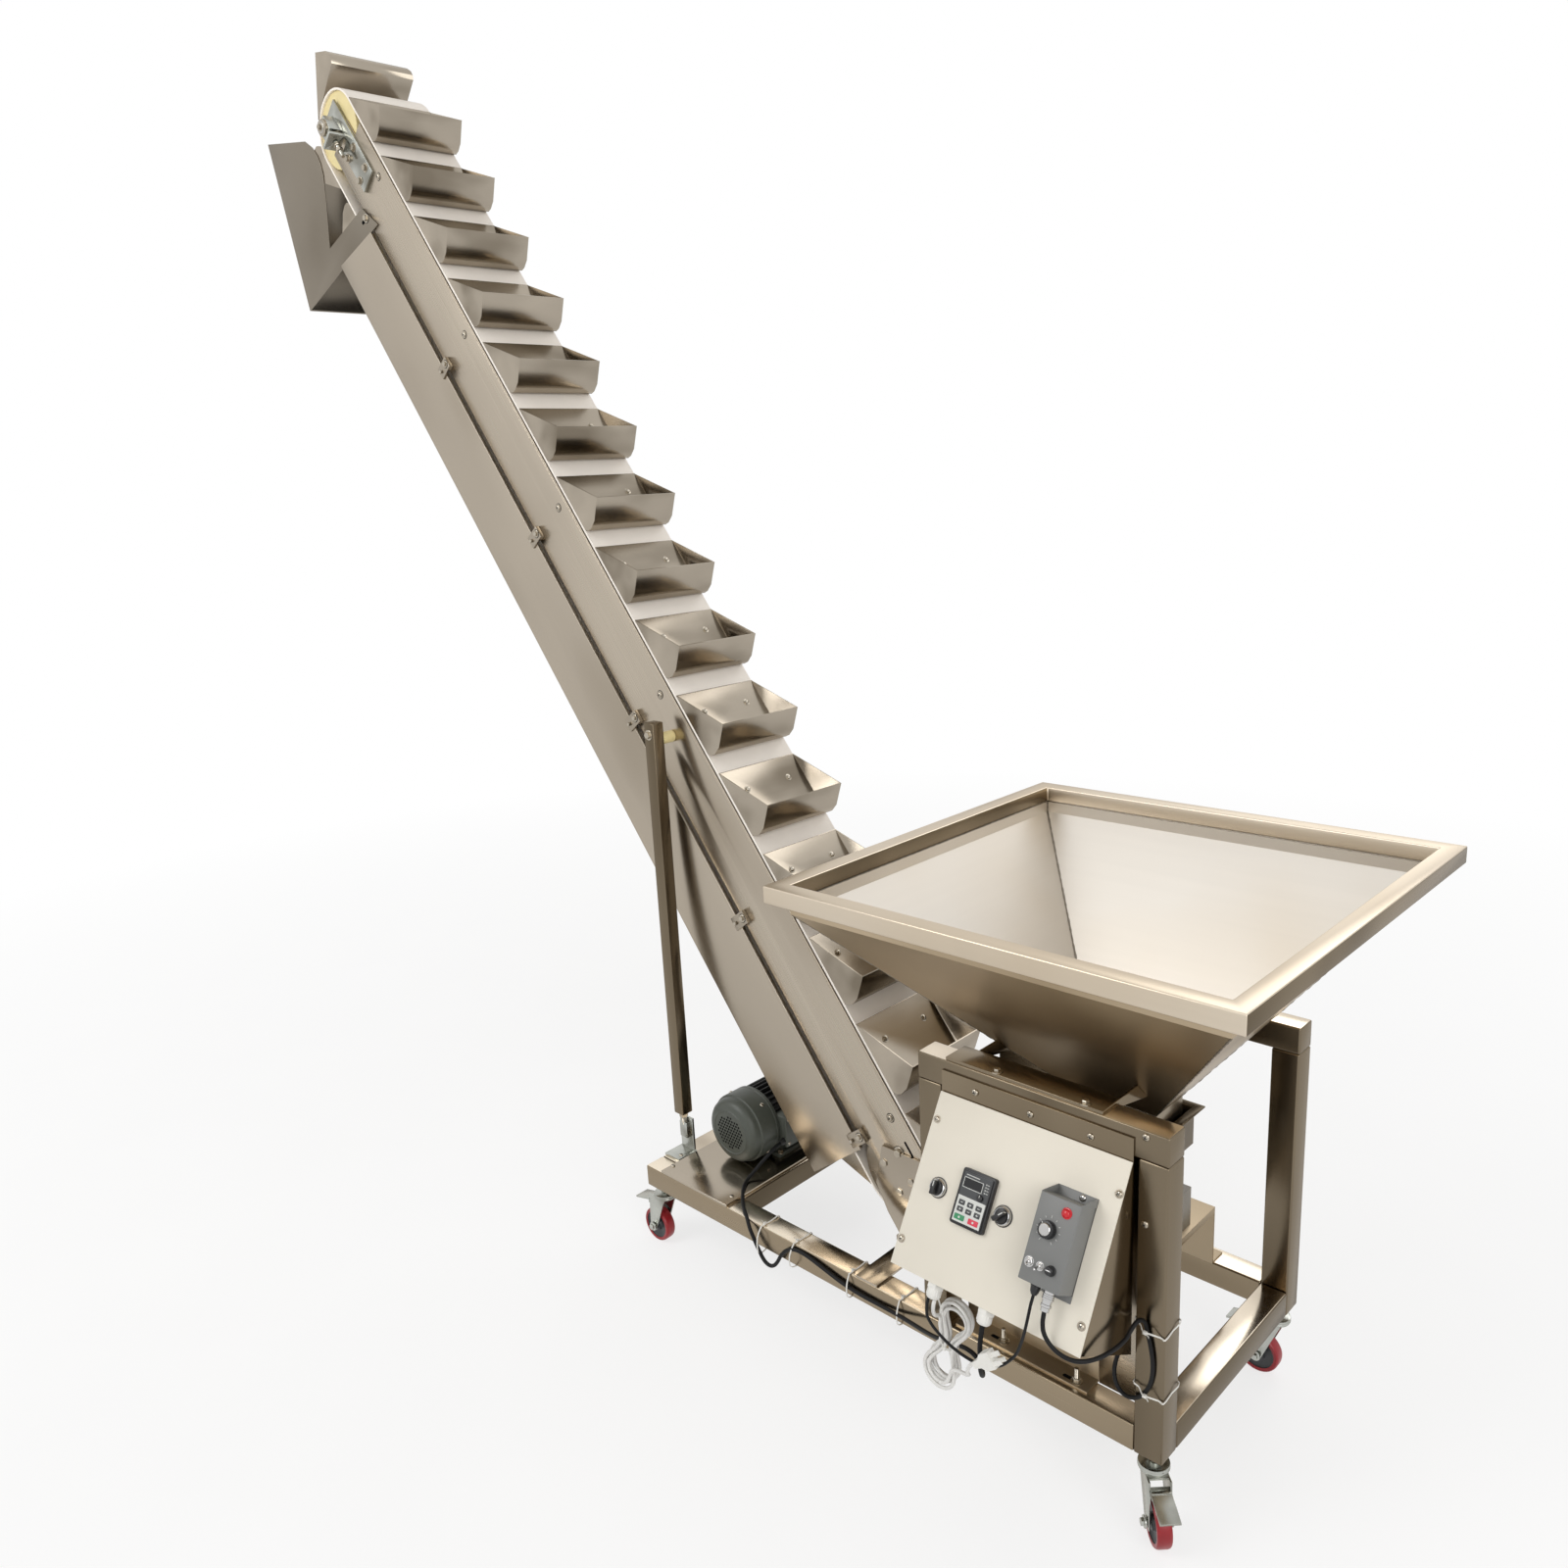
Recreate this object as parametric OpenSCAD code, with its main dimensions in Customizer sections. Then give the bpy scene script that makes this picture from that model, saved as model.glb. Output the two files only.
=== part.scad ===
// Wheeled inclined bucket elevator with a square feed hopper, a vibrating feeder and a control cabinet.
// Units are millimetres. Drawn from the near right corner of the base, X along the near rail to the right,
// Y to the back, Z up from the underside of the rails, then moved so that the footprint box is centred.

/* [Base] */
// Length of the two long rails
base_length = 1273; // [1200:10:1400]
// Width over the two long rails
base_width = 525; // [505:5:560]
// Side of the square frame tube
tube = 50; // [46:1:50]
// Height of the underside of the rails above the floor
caster_height = 152; // [150:1:165]

/* [Hopper] */
// Height of the portal over the underside of the rails
portal_height = 578; // [574:1:600]
// Length of the portal top rails
portal_length = 472; // [466:1:490]
// Length of the hopper rim
hopper_length = 842; // [800:5:880]
// Width of the hopper rim
hopper_width = 859; // [840:5:880]
// Height of the rim top over the underside of the rails
hopper_top = 888; // [870:2:900]

/* [Elevator] */
// Slope of the elevator from level, in degrees
incline = 52.6; // [51.6:0.2:53.6]
// Distance between the two pulley shafts
shaft_distance = 2845; // [2700:5:2900]
// Number of buckets round the belt
bucket_count = 32; // [28:1:32]
// How far a bucket stands out from the belt
bucket_depth = 84; // [70:1:86]
// Width of the belt and of the buckets
belt_width = 225; // [215:1:225]

/* [Controls] */
// Tilt of the control panel from upright, in degrees
panel_tilt = 30.3; // [26:0.5:32]
// Length of the panel down its slope
panel_length = 295; // [290:1:300]

/* [Hidden] */
e = 0.01;
mid = base_width / 2;
wall = 2;
// Elevator, seen along the belt: d runs down the slope from the head shaft, n stands out from it.
tail_x = -647;
tail_z = 204;
head_x = tail_x - shaft_distance * cos(incline);
head_z = tail_z + shaft_distance * sin(incline);
belt_r = 95;
belt_t = 5;
plate_t = 3;
ey0 = mid - belt_width / 2;
ey1 = mid + belt_width / 2;
loop_length = 2 * shaft_distance + 2 * PI * belt_r;
pitch = loop_length / bucket_count;
first_d = 34;
plate_n0 = -56;
plate_n1 = 85;
guard_n = -237;
guard_d0 = 211;
guard_d1 = shaft_distance - 71;
// Chute corners on the slope frame, turned to world by wd() below.
chute_tl = [-271, -279];
chute_bl = [149, -456];
function wd(p) = [head_x + p[0] * cos(incline) + p[1] * sin(incline),
    head_z - p[0] * sin(incline) + p[1] * cos(incline)];
// Hopper
rim_h = 31;
rim_w = 34;
hx1 = hopper_length - 662;
hx0 = hx1 - hopper_length;
hy0 = mid - hopper_width / 2;
hy1 = mid + hopper_width / 2;
cone_top = hopper_top - rim_h - 23;
cone_bot = portal_height - 102;
open_x0 = -299;
open_x1 = -135;
open_y0 = mid - 44.5;
open_y1 = mid + 44.5;
neck_h = 76;
bracket_x0 = -412;
bracket_x1 = -112;
// Feeder
stand_x0 = -410;
stand_x1 = -142;
stand_top = 172;
block_top = 250;
tray_x0 = -530;
tray_x1 = -122;
tray_z0 = 377;
tray_z1 = 449;
tray_y0 = mid - 69.5;
tray_y1 = mid + 69.5;
// Cabinet
cab_x0 = -417;
cab_x1 = -56;
panel_top_z = 521;
panel_t = 3;
// Motor
motor_x = 161 - base_length;
motor_z = tube + 6 + 80;
// Strut
strut = 30;
strut_x = tube / 2 + 1 - base_length;
strut_y0 = 85;
strut_y1 = strut_y0 + strut;
// Height of the line at n on the slope frame over a place x.
function line_z(x, n) = tail_z + (tail_x + n * sin(incline) - x) * tan(incline) + n * cos(incline);
strut_top = line_z(strut_x, 47);
spacer_z = line_z(strut_x, 23.3);
// Panel frame: u along X, v down the slope, w out of the panel.
panel_bottom_z = panel_top_z - panel_length * cos(panel_tilt);
panel_bottom_y = -4 - panel_length * sin(panel_tilt);
// Cords: each route is a list of points from its exit to its end.
motor_route = [[-1022, 188, 112], [-1022, 172, 110], [-1024, 152, 101], [-1029, 132, 87], [-1033, 112, 73],
    [-1033, 92, 63], [-1022, 70, 61], [-998, 42, 60], [-966, 14, 60], [-940, -2, 56], [-924, -10, 40],
    [-914, -10, 22], [-906, -10, 8], [-898, -10, -4], [-889, -10, -16], [-878, -10, -23], [-866, -10, -23],
    [-855, -10, -16], [-846, -9, -4], [-836, -8, 14], [-821, -6, 31], [-798, -5, 42], [-765, -5, 43],
    [-718, -5, 34], [-672, -5, 25], [-624, -5, 21], [-576, -5, 21], [-530, -8, 24], [-484, -20, 34],
    [-438, -39, 51], [-392, -62, 75], [-348, -84, 102], [-308, -98, 121], [-280, -109, 128],
    [-260, -120, 126], [-244, -137, 128], [-235, -153, 143], [-231, -161.5, 166], [-231, -161.5, 206],
    [-231, -154, 236.5]];
link_route = [[-338, -154, 236.5], [-337, -161, 224.5], [-330, -169, 214], [-318, -172, 204], [-304, -171, 193],
    [-290, -168, 182], [-277, -163, 172], [-261, -158, 164], [-241, -154, 160], [-220, -152, 164],
    [-201, -150, 175], [-184, -150, 193], [-169, -152, 215], [-158, -157, 240], [-149, -162, 264],
    [-143, -164, 286], [-140, -162, 305], [-140, -156, 319], [-140, -148.3, 331.5]];
feeder_route = [[-116, -156.3, 317.8], [-115, -162, 304], [-112, -164, 289], [-104, -163, 275], [-92, -162, 266],
    [-77, -161, 262], [-63, -156, 260], [-52, -146, 259], [-45, -131, 257], [-41, -113, 254],
    [-38, -93, 252], [-37, -72, 250], [-37, -52, 250], [-37, -38, 256], [-36, -28, 261], [-35, -20, 263],
    [-33, -12, 261], [-31, -6, 255], [-29, -4, 246], [-26, -4, 234], [-21, -4, 214], [-17, -4, 187],
    [-18, -4, 159], [-25, -4, 134], [-39, -4, 113], [-58, -4, 103], [-74, -2, 106], [-85, 2, 120],
    [-88, 7, 140], [-84, 13, 164], [-77, 20, 187], [-69, 31, 208], [-63, 44, 222], [-62, 60, 227],
    [-68, 82, 225], [-84, 106, 219], [-106, 127, 214], [-124, 136, 214], [-139.6, 139, 214]];
lead_route = [[-326, -154, 236.5], [-326, -160, 226], [-326, -163, 218], [-326, -163, 210], [-325, -160, 202],
    [-324, -155, 196], [-323, -148, 192], [-322, -141, 190], [-322, -134.2, 189]];
tail_route = [[-295.2, -123, 112], [-287, -123.5, 109.8], [-279, -127, 110], [-272, -134, 114],
    [-266, -144, 121], [-260, -155, 132], [-254, -166, 146], [-247, -173, 160], [-238.4, -176, 173.4],
    [-229.4, -176, 180.4]];
hank_ends = [[-339, 80], [-305, 197]];
hank_r = 33;
hank_y = -123;
hank_t = 22;
// The footprint box, used to put the origin at its middle.
box_x0 = wd(chute_tl)[0];
box_x1 = hx1;
// The controller's lower front edge is the piece of the near side that reaches furthest out.
box_y0 = min(hy0, -4 - 218 * sin(panel_tilt) - (panel_t + 50) * cos(panel_tilt));
box_y1 = hy1;
ox = -(box_x0 + box_x1) / 2;
oy = -(box_y0 + box_y1) / 2;
oz = caster_height;

// Moves the machine frame so that the origin is under the middle of the footprint box.
module place() { translate([ox, oy, oz]) children(); }

// A bar between two corners.
module bar(a, b) { translate(a) cube([b[0] - a[0], b[1] - a[1], b[2] - a[2]]); }

// Draws an XZ outline from y0 to y1.
module along_y(y0, y1) { translate([0, y1, 0]) rotate([90, 0, 0]) linear_extrude(y1 - y0) children(); }

// A round bar along Y.
module rod_y(r, y0, y1, n = 48) {
    translate([0, y0, 0]) rotate([-90, 0, 0]) cylinder(r = r, h = y1 - y0, $fn = n);
}

// Slope frame: X down the slope, Z out of the belt, origin on the head shaft.
module slope() { translate([head_x, 0, head_z]) rotate([0, incline, 0]) children(); }

// Panel frame: X along the panel from its left edge, Y up its slope with 0 at the top edge, Z out of it.
module on_panel() { translate([cab_x0, -4, panel_top_z]) rotate([90 - panel_tilt, 0, 0]) children(); }

// Both sides of the machine.
module both_sides() { children(); translate([0, 2 * mid, 0]) mirror([0, 1, 0]) children(); }

module base_rails() {
    color("silver") place() both_sides() bar([-base_length, 0, 0], [-tube, tube, tube]);
}

module base_cross() {
    color("silver") place() {
        bar([-base_length, tube, 0], [-base_length + tube, base_width - tube, tube]);
        bar([-tube, tube, 0], [0, base_width - tube, tube]);
        bar([223 - base_length, tube, 0], [223 - base_length + tube, base_width - tube, tube]);
    }
}

module motor_plate() {
    color("silver") place() bar([-base_length + tube + 3, 0, tube],
        [267 - base_length, base_width, tube + 6]);
}

module portal_posts() {
    color("silver") place() both_sides() {
        bar([-tube, 0, 0], [0, tube, portal_height - tube]);
        bar([-portal_length, 0, tube], [-portal_length + tube, tube, portal_height - tube]);
    }
}

module portal_rails() {
    color("silver") place() both_sides()
        bar([-portal_length, 0, portal_height - tube], [0, tube, portal_height]);
}

// The sheet behind the near right post, with a round hole for the feeder's cord.
module post_sheet() {
    color("silver") place() difference() {
        bar([stand_x1 + 1, tube, tube], [-tube + 10, tube + 2, portal_height - 18]);
        translate([-62, 0, 225]) rod_y(9, tube - 1, tube + 3, 32);
    }
}

module feeder_stand() {
    color("silver") place() {
        along_x_hat();
        bar([stand_x1 - 3, tube + 5, stand_top - 14], [stand_x1, base_width - tube - 5, stand_top - 4]);
    }
}

// The hat-section stand: top sheet, two walls and two feet on the rails.
module along_x_hat() {
    translate([stand_x0, 0, 0]) rotate([90, 0, 90]) linear_extrude(stand_x1 - stand_x0) polygon([
        [12, tube], [tube + 5, tube], [tube + 5, stand_top - 4], [base_width - tube - 5, stand_top - 4],
        [base_width - tube - 5, tube], [base_width - 12, tube], [base_width - 12, tube + 4],
        [base_width - tube - 1, tube + 4], [base_width - tube - 1, stand_top], [tube + 1, stand_top],
        [tube + 1, tube + 4], [12, tube + 4]]);
}

module feeder_base() {
    color("gray") place() {
        bar([-405, mid - 130, stand_top], [-152, mid + 130, block_top]);
        translate([-152, 139, 214]) rotate([0, 90, 0]) cylinder(r = 9, h = 12, $fn = 24);
    }
}

module feeder_springs() {
    color("gray") place() {
        for (x = [-380, -200]) translate([x, 0, 0]) along_y(mid - 60, mid + 60)
            polygon([[0, block_top], [22, block_top], [2, tray_z0], [-20, tray_z0]]);
        bar([-340, mid - 45, block_top], [-270, mid + 45, tray_z0]);
    }
}

// The trough under the outlet: open over the buckets, with a flange round its top.
module tray() {
    color("silver") place() difference() {
        union() {
            bar([tray_x0, tray_y0, tray_z0], [tray_x1, tray_y1, tray_z1]);
            bar([tray_x0, tray_y0 - 13, tray_z1 - 3], [tray_x1 + 14, tray_y1 + 13, tray_z1]);
        }
        bar([tray_x0 - 1, tray_y0 + wall, tray_z0 + wall], [tray_x1 - wall, tray_y1 - wall, tray_z1 + 1]);
    }
}

module hopper_rim() {
    color("silver") place() difference() {
        bar([hx0, hy0, hopper_top - rim_h], [hx1, hy1, hopper_top]);
        bar([hx0 + rim_w, hy0 + rim_w, hopper_top - rim_h - 1], [hx1 - rim_w, hy1 - rim_w, hopper_top + 1]);
    }
}

// One frustum of the hopper between two levels, grown outward by g.
module funnel(g) {
    hull() {
        bar([hx0 + rim_w - g, hy0 + rim_w - g, cone_top], [hx1 - rim_w + g, hy1 - rim_w + g, cone_top + e]);
        bar([open_x0 - g, open_y0 - g, cone_bot], [open_x1 + g, open_y1 + g, cone_bot + e]);
    }
}

// Where the near wall's outside is at height z.
function cone_y(z) = open_y0 - wall - (z - cone_bot) / (cone_top - cone_bot) * (open_y0 - hy0 - rim_w);

module hopper_cone() {
    color("silver") place() difference() {
        union() {
            funnel(wall);
            bar([hx0 + rim_w - wall, hy0 + rim_w - wall, cone_top],
                [hx1 - rim_w + wall, hy1 - rim_w + wall, hopper_top - rim_h]);
        }
        funnel(0);
        bar([hx0 + rim_w, hy0 + rim_w, cone_top], [hx1 - rim_w, hy1 - rim_w, hopper_top]);
        bar([open_x0, open_y0, cone_bot - 1], [open_x1, open_y1, cone_bot + 2 * e]);
    }
}

module hopper_neck() {
    color("silver") place() difference() {
        bar([open_x0 - wall, open_y0 - wall, cone_bot - neck_h], [open_x1 + wall, open_y1 + wall, cone_bot]);
        bar([open_x0, open_y0, cone_bot - neck_h - 1], [open_x1, open_y1, cone_bot + 1]);
    }
}

// A plate on each top rail, with two gussets that reach the cone.
module hopper_brackets() {
    h = portal_height;
    color("silver") place() both_sides() {
        bar([bracket_x0, 2, h], [bracket_x1, tube + 7, h + 6]);
        for (x = [bracket_x0 + 30, bracket_x1 - 4])
            translate([x, 0, 0]) rotate([90, 0, 90]) linear_extrude(4) polygon([[tube + 7, h + 6], [tube + 7, h],
                [tube + 1, h], [tube + 1, h - 8], [cone_y(h - 28), h - 28], [cone_y(h + 6), h + 6]]);
    }
}

module side_plates() {
    color("silver") place() slope() for (y = [ey0, ey1 - plate_t]) along_y(y, y + plate_t) difference() {
        polygon([[75, plate_n1], [75, 50], [22, 50], [22, plate_n0], [shaft_distance - 84, plate_n0],
            [shaft_distance - 64, -41], [shaft_distance + 66, -41], [shaft_distance + 30, plate_n1]]);
        translate([shaft_distance, 0]) circle(r = 15, $fn = 48);
    }
}

// Places of the frame ties and of the guard's clips down the slope.
function tie_d(k) = guard_d0 + 7 + (shaft_distance - 97 - guard_d0 - 7) * k / 5;
function clip_d(k) = guard_d0 + 508 + (shaft_distance - 94 - guard_d0 - 508) * k / 4;

module frame_ties() {
    color("silver") place() slope() for (k = [0:5]) translate([tie_d(k), 0, 53])
        rod_y(12, ey0 + plate_t, ey1 - plate_t, 24);
}

module return_guard() {
    gy0 = ey0 - 6;
    gy1 = ey1 + 6;
    color("silver") place() slope() {
        for (y = [gy0, gy1 - 2]) along_y(y, y + 2)
            polygon([[guard_d0 + 62, -67], [guard_d1, -67], [guard_d1, guard_n], [guard_d0, guard_n]]);
        bar([guard_d0 + 14, gy0 + 2, guard_n], [guard_d1, gy1 - 2, guard_n + 2]);
    }
}

// Spring clips that hold the guard on the side plates.
module guard_clips() {
    color("silver") place() both_sides() slope() for (k = [0:4]) {
        bar([clip_d(k) - 15, ey0 - 10, -82], [clip_d(k) + 15, ey0 - 6, -38]);
        bar([clip_d(k) - 15, ey0 - 6, -52], [clip_d(k) + 15, ey0, -38]);
    }
}

// The belt loop as an outline of radius r.
module loop2d(r) {
    circle(r = r, $fn = 96);
    translate([0, -r]) square([shaft_distance, 2 * r]);
    translate([shaft_distance, 0]) circle(r = r, $fn = 96);
}

module belt() {
    color("ivory") place() slope() along_y(ey0, ey1) difference() {
        loop2d(belt_r);
        loop2d(belt_r - belt_t);
    }
}

module pulleys() {
    color("wheat") place() slope() for (d = [0, shaft_distance]) translate([d, 0, 0]) difference() {
        rod_y(belt_r - belt_t, ey0 + plate_t + 2, ey1 - plate_t - 2, 96);
        rod_y(15, ey0, ey1, 48);
    }
}

module shafts() {
    color("gray") place() slope() {
        rod_y(15, ey0 - 45, ey1 + 45, 48);
        translate([shaft_distance, 0, 0]) rod_y(15, ey0 - 30, 472, 48);
    }
}

module takeups() {
    color("silver") place() both_sides() slope() {
        difference() {
            bar([-49, ey0 - 6, -16], [195, ey0, 48]);
            bar([-30, ey0 - 7, -16.5], [60, ey0 + 1, 16]);
        }
        bar([40, ey0 - 48, -24], [48, ey0 - 6, 24]);
        translate([24, ey0 - 24, 0]) rotate([0, 90, 0]) cylinder(r = 5, h = 71, $fn = 24);
        difference() {
            bar([-20, ey0 - 36, -20], [24, ey0 - 6, 20]);
            rod_y(15, ey0 - 40, ey0, 48);
        }
    }
}

module boot_brackets() {
    color("silver") place() both_sides() {
        difference() {
            union() {
                bar([tail_x - 60, 0, tube], [tail_x + 60, ey0, tube + 5]);
                bar([tail_x - 60, ey0 - 5, tube + 5], [tail_x + 60, ey0, tail_z + 45]);
            }
            translate([tail_x, 0, tail_z]) rod_y(15, ey0 - 6, ey0 + 1, 48);
        }
    }
}

// One bucket, its back on the belt; X points against the belt's travel, Z out from the belt.
module bucket() {
    d = bucket_depth;
    along_y(ey0, ey1) difference() {
        polygon([[-33, 0], [115, 0], [123, 8], [126, 20], [122, d - 44], [92, d], [90, d - 1.5], [119.5, d - 45],
            [123.5, 20], [121.3, 9.5], [114, 2.5], [-33, 2]]);
    }
    for (y = [ey0, ey1 - 2]) along_y(y, y + 2)
        polygon([[-33, 1], [115, 1], [122.2, 8.7], [125, 20], [121, d - 44], [91.2, d - 0.8]]);
}

// Puts a bucket at belt position p, measured up the carrying side from the tail.
module at_belt(p) {
    q = p - loop_length * floor(p / loop_length);
    a = 180 / PI / belt_r;
    if (q < shaft_distance) translate([shaft_distance - q, 0, belt_r]) children();
    else if (q < shaft_distance + PI * belt_r)
        rotate([0, -(q - shaft_distance) * a, 0]) translate([0, 0, belt_r]) children();
    else if (q < 2 * shaft_distance + PI * belt_r)
        translate([q - shaft_distance - PI * belt_r, 0, -belt_r]) rotate([0, 180, 0]) children();
    else translate([shaft_distance, 0, 0]) rotate([0, 180 - (q - 2 * shaft_distance - PI * belt_r) * a, 0])
        translate([0, 0, belt_r]) children();
}

function belt_pos(i) = shaft_distance - first_d - i * pitch;
function carry(q) = q > 8 && q < shaft_distance;
function back(q) = q > shaft_distance + PI * belt_r && q < 2 * shaft_distance + PI * belt_r - 8;
function round_loop(p) = p - loop_length * floor(p / loop_length);

module buckets_carry() {
    color("silver") place() slope() for (i = [0:bucket_count - 1])
        if (carry(round_loop(belt_pos(i)))) at_belt(belt_pos(i)) bucket();
}

module buckets_turn() {
    color("silver") place() slope() for (i = [0:bucket_count - 1])
        if (!carry(round_loop(belt_pos(i))) && !back(round_loop(belt_pos(i)))) at_belt(belt_pos(i)) bucket();
}

module buckets_return() {
    color("silver") place() slope() for (i = [0:bucket_count - 1])
        if (back(round_loop(belt_pos(i)))) at_belt(belt_pos(i)) bucket();
}

module chute() {
    color("silver") place() {
        both_sides() slope() along_y(ey0 - 2, ey0) polygon([chute_tl, [-114, -133], [-75, -118], [-45, -115],
            [-18, -120], [5, -130], [63, -178], [137, -250], [178, -128], [202, -58], [283, -33], chute_bl]);
        slope() along_y(ey0, ey1)
            polygon([chute_tl, [chute_tl[0] + 1, chute_tl[1] + 2], [chute_bl[0] - 1, chute_bl[1] + 3], chute_bl]);
    }
}

module struts() {
    color("silver") place() both_sides()
        bar([strut_x - 15, strut_y0, 150], [strut_x + 15, strut_y1, strut_top]);
}

module strut_feet() {
    color("silver") place() both_sides() {
        bar([-base_length, 57, tube], [-base_length + tube - 1, 112, tube + 5]);
        bar([-base_length + 3, 107, tube + 5], [-base_length + tube - 4, 112, 135]);
        bar([strut_x - 12, 96, 88], [strut_x + 12, 107, 126]);
        translate([strut_x, strut_y0 + 15, 120]) cylinder(r = 5, h = 30, $fn = 24);
    }
}

module strut_spacers() {
    color("wheat") place() both_sides()
        translate([strut_x, 0, spacer_z]) rod_y(13, strut_y1, ey0, 32);
}

module motor() {
    color("gray") place() translate([motor_x, 0, motor_z]) {
        rod_y(62, 190, 345, 64);
        rod_y(79, 190, 200, 96);
        for (k = [0:23]) rotate([0, k * 15, 0]) bar([60, 195, -1.5], [72, 340, 1.5]);
        bar([-62, 210, -80], [-40, 320, -45]);
        bar([40, 210, -80], [62, 320, -45]);
        bar([55, 200, -35], [100, 290, 35]);
        translate([90, 0, -24]) rod_y(7, 188.4, 200, 24);
        rod_y(78, 345, 357, 64);
    }
}

module fan_cowl() {
    color("gray") place() translate([motor_x, 0, motor_z]) difference() {
        union() {
            rod_y(79, 128, 190, 96);
            translate([0, 128, 0]) rotate([90, 0, 0]) cylinder(r1 = 79, r2 = 66, h = 10, $fn = 96);
        }
        rod_y(76, 128, 191, 96);
        rod_y(62, 122, 129, 96);
    }
}

module gearbox() {
    color("gray") place() {
        translate([motor_x, 0, motor_z]) rod_y(70, 357, 372, 64);
        bar([motor_x - 55, 372, tube + 6], [motor_x + 55, 436, motor_z + 70]);
        translate([motor_x, 0, motor_z]) rod_y(14, 436, 472, 32);
    }
}

module chain_guard() {
    color("silver") place() difference() {
        along_y(436, 478) hull_outline(62);
        along_y(438, 476) hull_outline(60);
        translate([motor_x, 0, motor_z]) rod_y(16, 430, 443, 32);
        translate([tail_x, 0, tail_z]) rod_y(16, 430, 443, 32);
    }
}

// Outline round the two sprockets.
module hull_outline(r) {
    a = atan2(tail_z - motor_z, tail_x - motor_x);
    l = norm([tail_z - motor_z, tail_x - motor_x]);
    translate([motor_x, motor_z]) rotate([0, 0, a]) {
        circle(r = r, $fn = 64);
        translate([0, -r]) square([l, 2 * r]);
        translate([l, 0]) circle(r = r, $fn = 64);
    }
}

// A place on the panel's slope as [y, z]: s down from its top edge, w out of its back face.
function slope_at(s, w) = [-4 - s * sin(panel_tilt) - w * cos(panel_tilt),
    panel_top_z - s * cos(panel_tilt) + w * sin(panel_tilt)];
// Where the square line from the slope at s meets the upright plane y.
function square_to(s, y) = [y, slope_at(s, 0)[1] - (y - slope_at(s, 0)[0]) * tan(panel_tilt)];

// Wedge box behind the panel, with a flange on the front of the top rail.
module cabinet() {
    color("silver") place() {
        bar([cab_x0, -4, panel_top_z + 2], [cab_x1, 0, panel_top_z + 40]);
        difference() {
            translate([cab_x0, 0, 0]) rotate([90, 0, 90]) linear_extrude(cab_x1 - cab_x0) polygon([
                [0, panel_top_z + 2], [-4, panel_top_z + 2], slope_at(0, -e), slope_at(panel_length - wall, -e),
                square_to(panel_length - wall, 0)]);
            translate([cab_x0 + wall, 0, 0]) rotate([90, 0, 90]) linear_extrude(cab_x1 - cab_x0 - 2 * wall)
                polygon([[-wall, panel_top_z - 8], slope_at(10, -wall), slope_at(panel_length - 2 * wall, -wall),
                    square_to(panel_length - 2 * wall, -wall)]);
        }
    }
}

module control_panel() {
    color("ivory") place() on_panel() bar([0, -panel_length, 0], [cab_x1 - cab_x0, 0, panel_t]);
}

module keypad() {
    color("black") place() on_panel() bar([91, -192, panel_t], [155, -101, panel_t + 12]);
}

// The feeder's control box: a flange on the panel and a folded body on it.
module controller_box() {
    color("gray") place() on_panel() difference() {
        union() {
            bar([256, -230, panel_t], [326, -70, panel_t + 3]);
            bar([256, -218, panel_t + 3], [326, -84, panel_t + 50]);
        }
        translate([284, -135, panel_t + 38]) cylinder(r = 3, h = 20, $fn = 24);
    }
}

// A black gland and a round metal connector on the control box's lower end.
module controller_connectors() {
    color("silver") place() on_panel() {
        translate([277, -218, 29]) rotate([90, 0, 0]) cylinder(r = 7, h = 18, $fn = 24);
        translate([301, -218, 29]) rotate([90, 0, 0]) {
            cylinder(r = 9, h = 8, $fn = 48);
            cylinder(r = 7.5, h = 34, $fn = 48);
        }
    }
}

// A rotary selector switch, its pin in the panel.
module selector(u) {
    translate([u, -151, panel_t + 0.5]) {
        cylinder(r = 12, h = 10, $fn = 48);
        translate([-4, -11.5, 9]) cube([8, 23, 11]);
    }
}

module selector_bezels() {
    color("silver") place() on_panel() for (u = [49, 178]) translate([u, -151, panel_t]) difference() {
        cylinder(r = 16, h = 7, $fn = 64);
        translate([0, 0, -1]) cylinder(r = 12.3, h = 9, $fn = 64);
    }
}

module selector_left() { color("black") place() on_panel() selector(49); }
module selector_right() { color("black") place() on_panel() selector(178); }

module dial_knob() {
    color("black") place() on_panel() translate([284, -135, panel_t + 50.5]) {
        cylinder(r = 14, h = 14, $fn = 48);
        translate([0, 0, -8]) cylinder(r = 2.95, h = 9, $fn = 24);
    }
}

// Two white glands under the cabinet: a hexagon nut and a round cap.
module cable_glands() {
    color("white") place() on_panel() for (u = [86, 186])
        translate([u, -panel_length + wall, -14]) rotate([90, 0, 0]) {
            cylinder(r = 13, h = 10, $fn = 6);
            cylinder(r = 11, h = 28, $fn = 32);
        }
}

// Caster axes, the wheels' trail direction in degrees, and sizes.
wheel_r = 40;
caster_in = 27;
trail = 28;
casters = [[-base_length + caster_in, caster_in, 180], [-caster_in, caster_in, -45],
    [-base_length + caster_in, base_width - caster_in, 180], [-caster_in, base_width - caster_in, 180]];

module caster_stems() {
    color("silver") place() for (c = casters) translate([c[0], c[1], -20]) {
        cylinder(r = 8, h = 20, $fn = 32);
        translate([0, 0, 10]) cylinder(r = 14, h = 8, $fn = 6);
        translate([0, 0, -10]) cylinder(r = 6, h = 10 + e, $fn = 32);
    }
}

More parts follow.
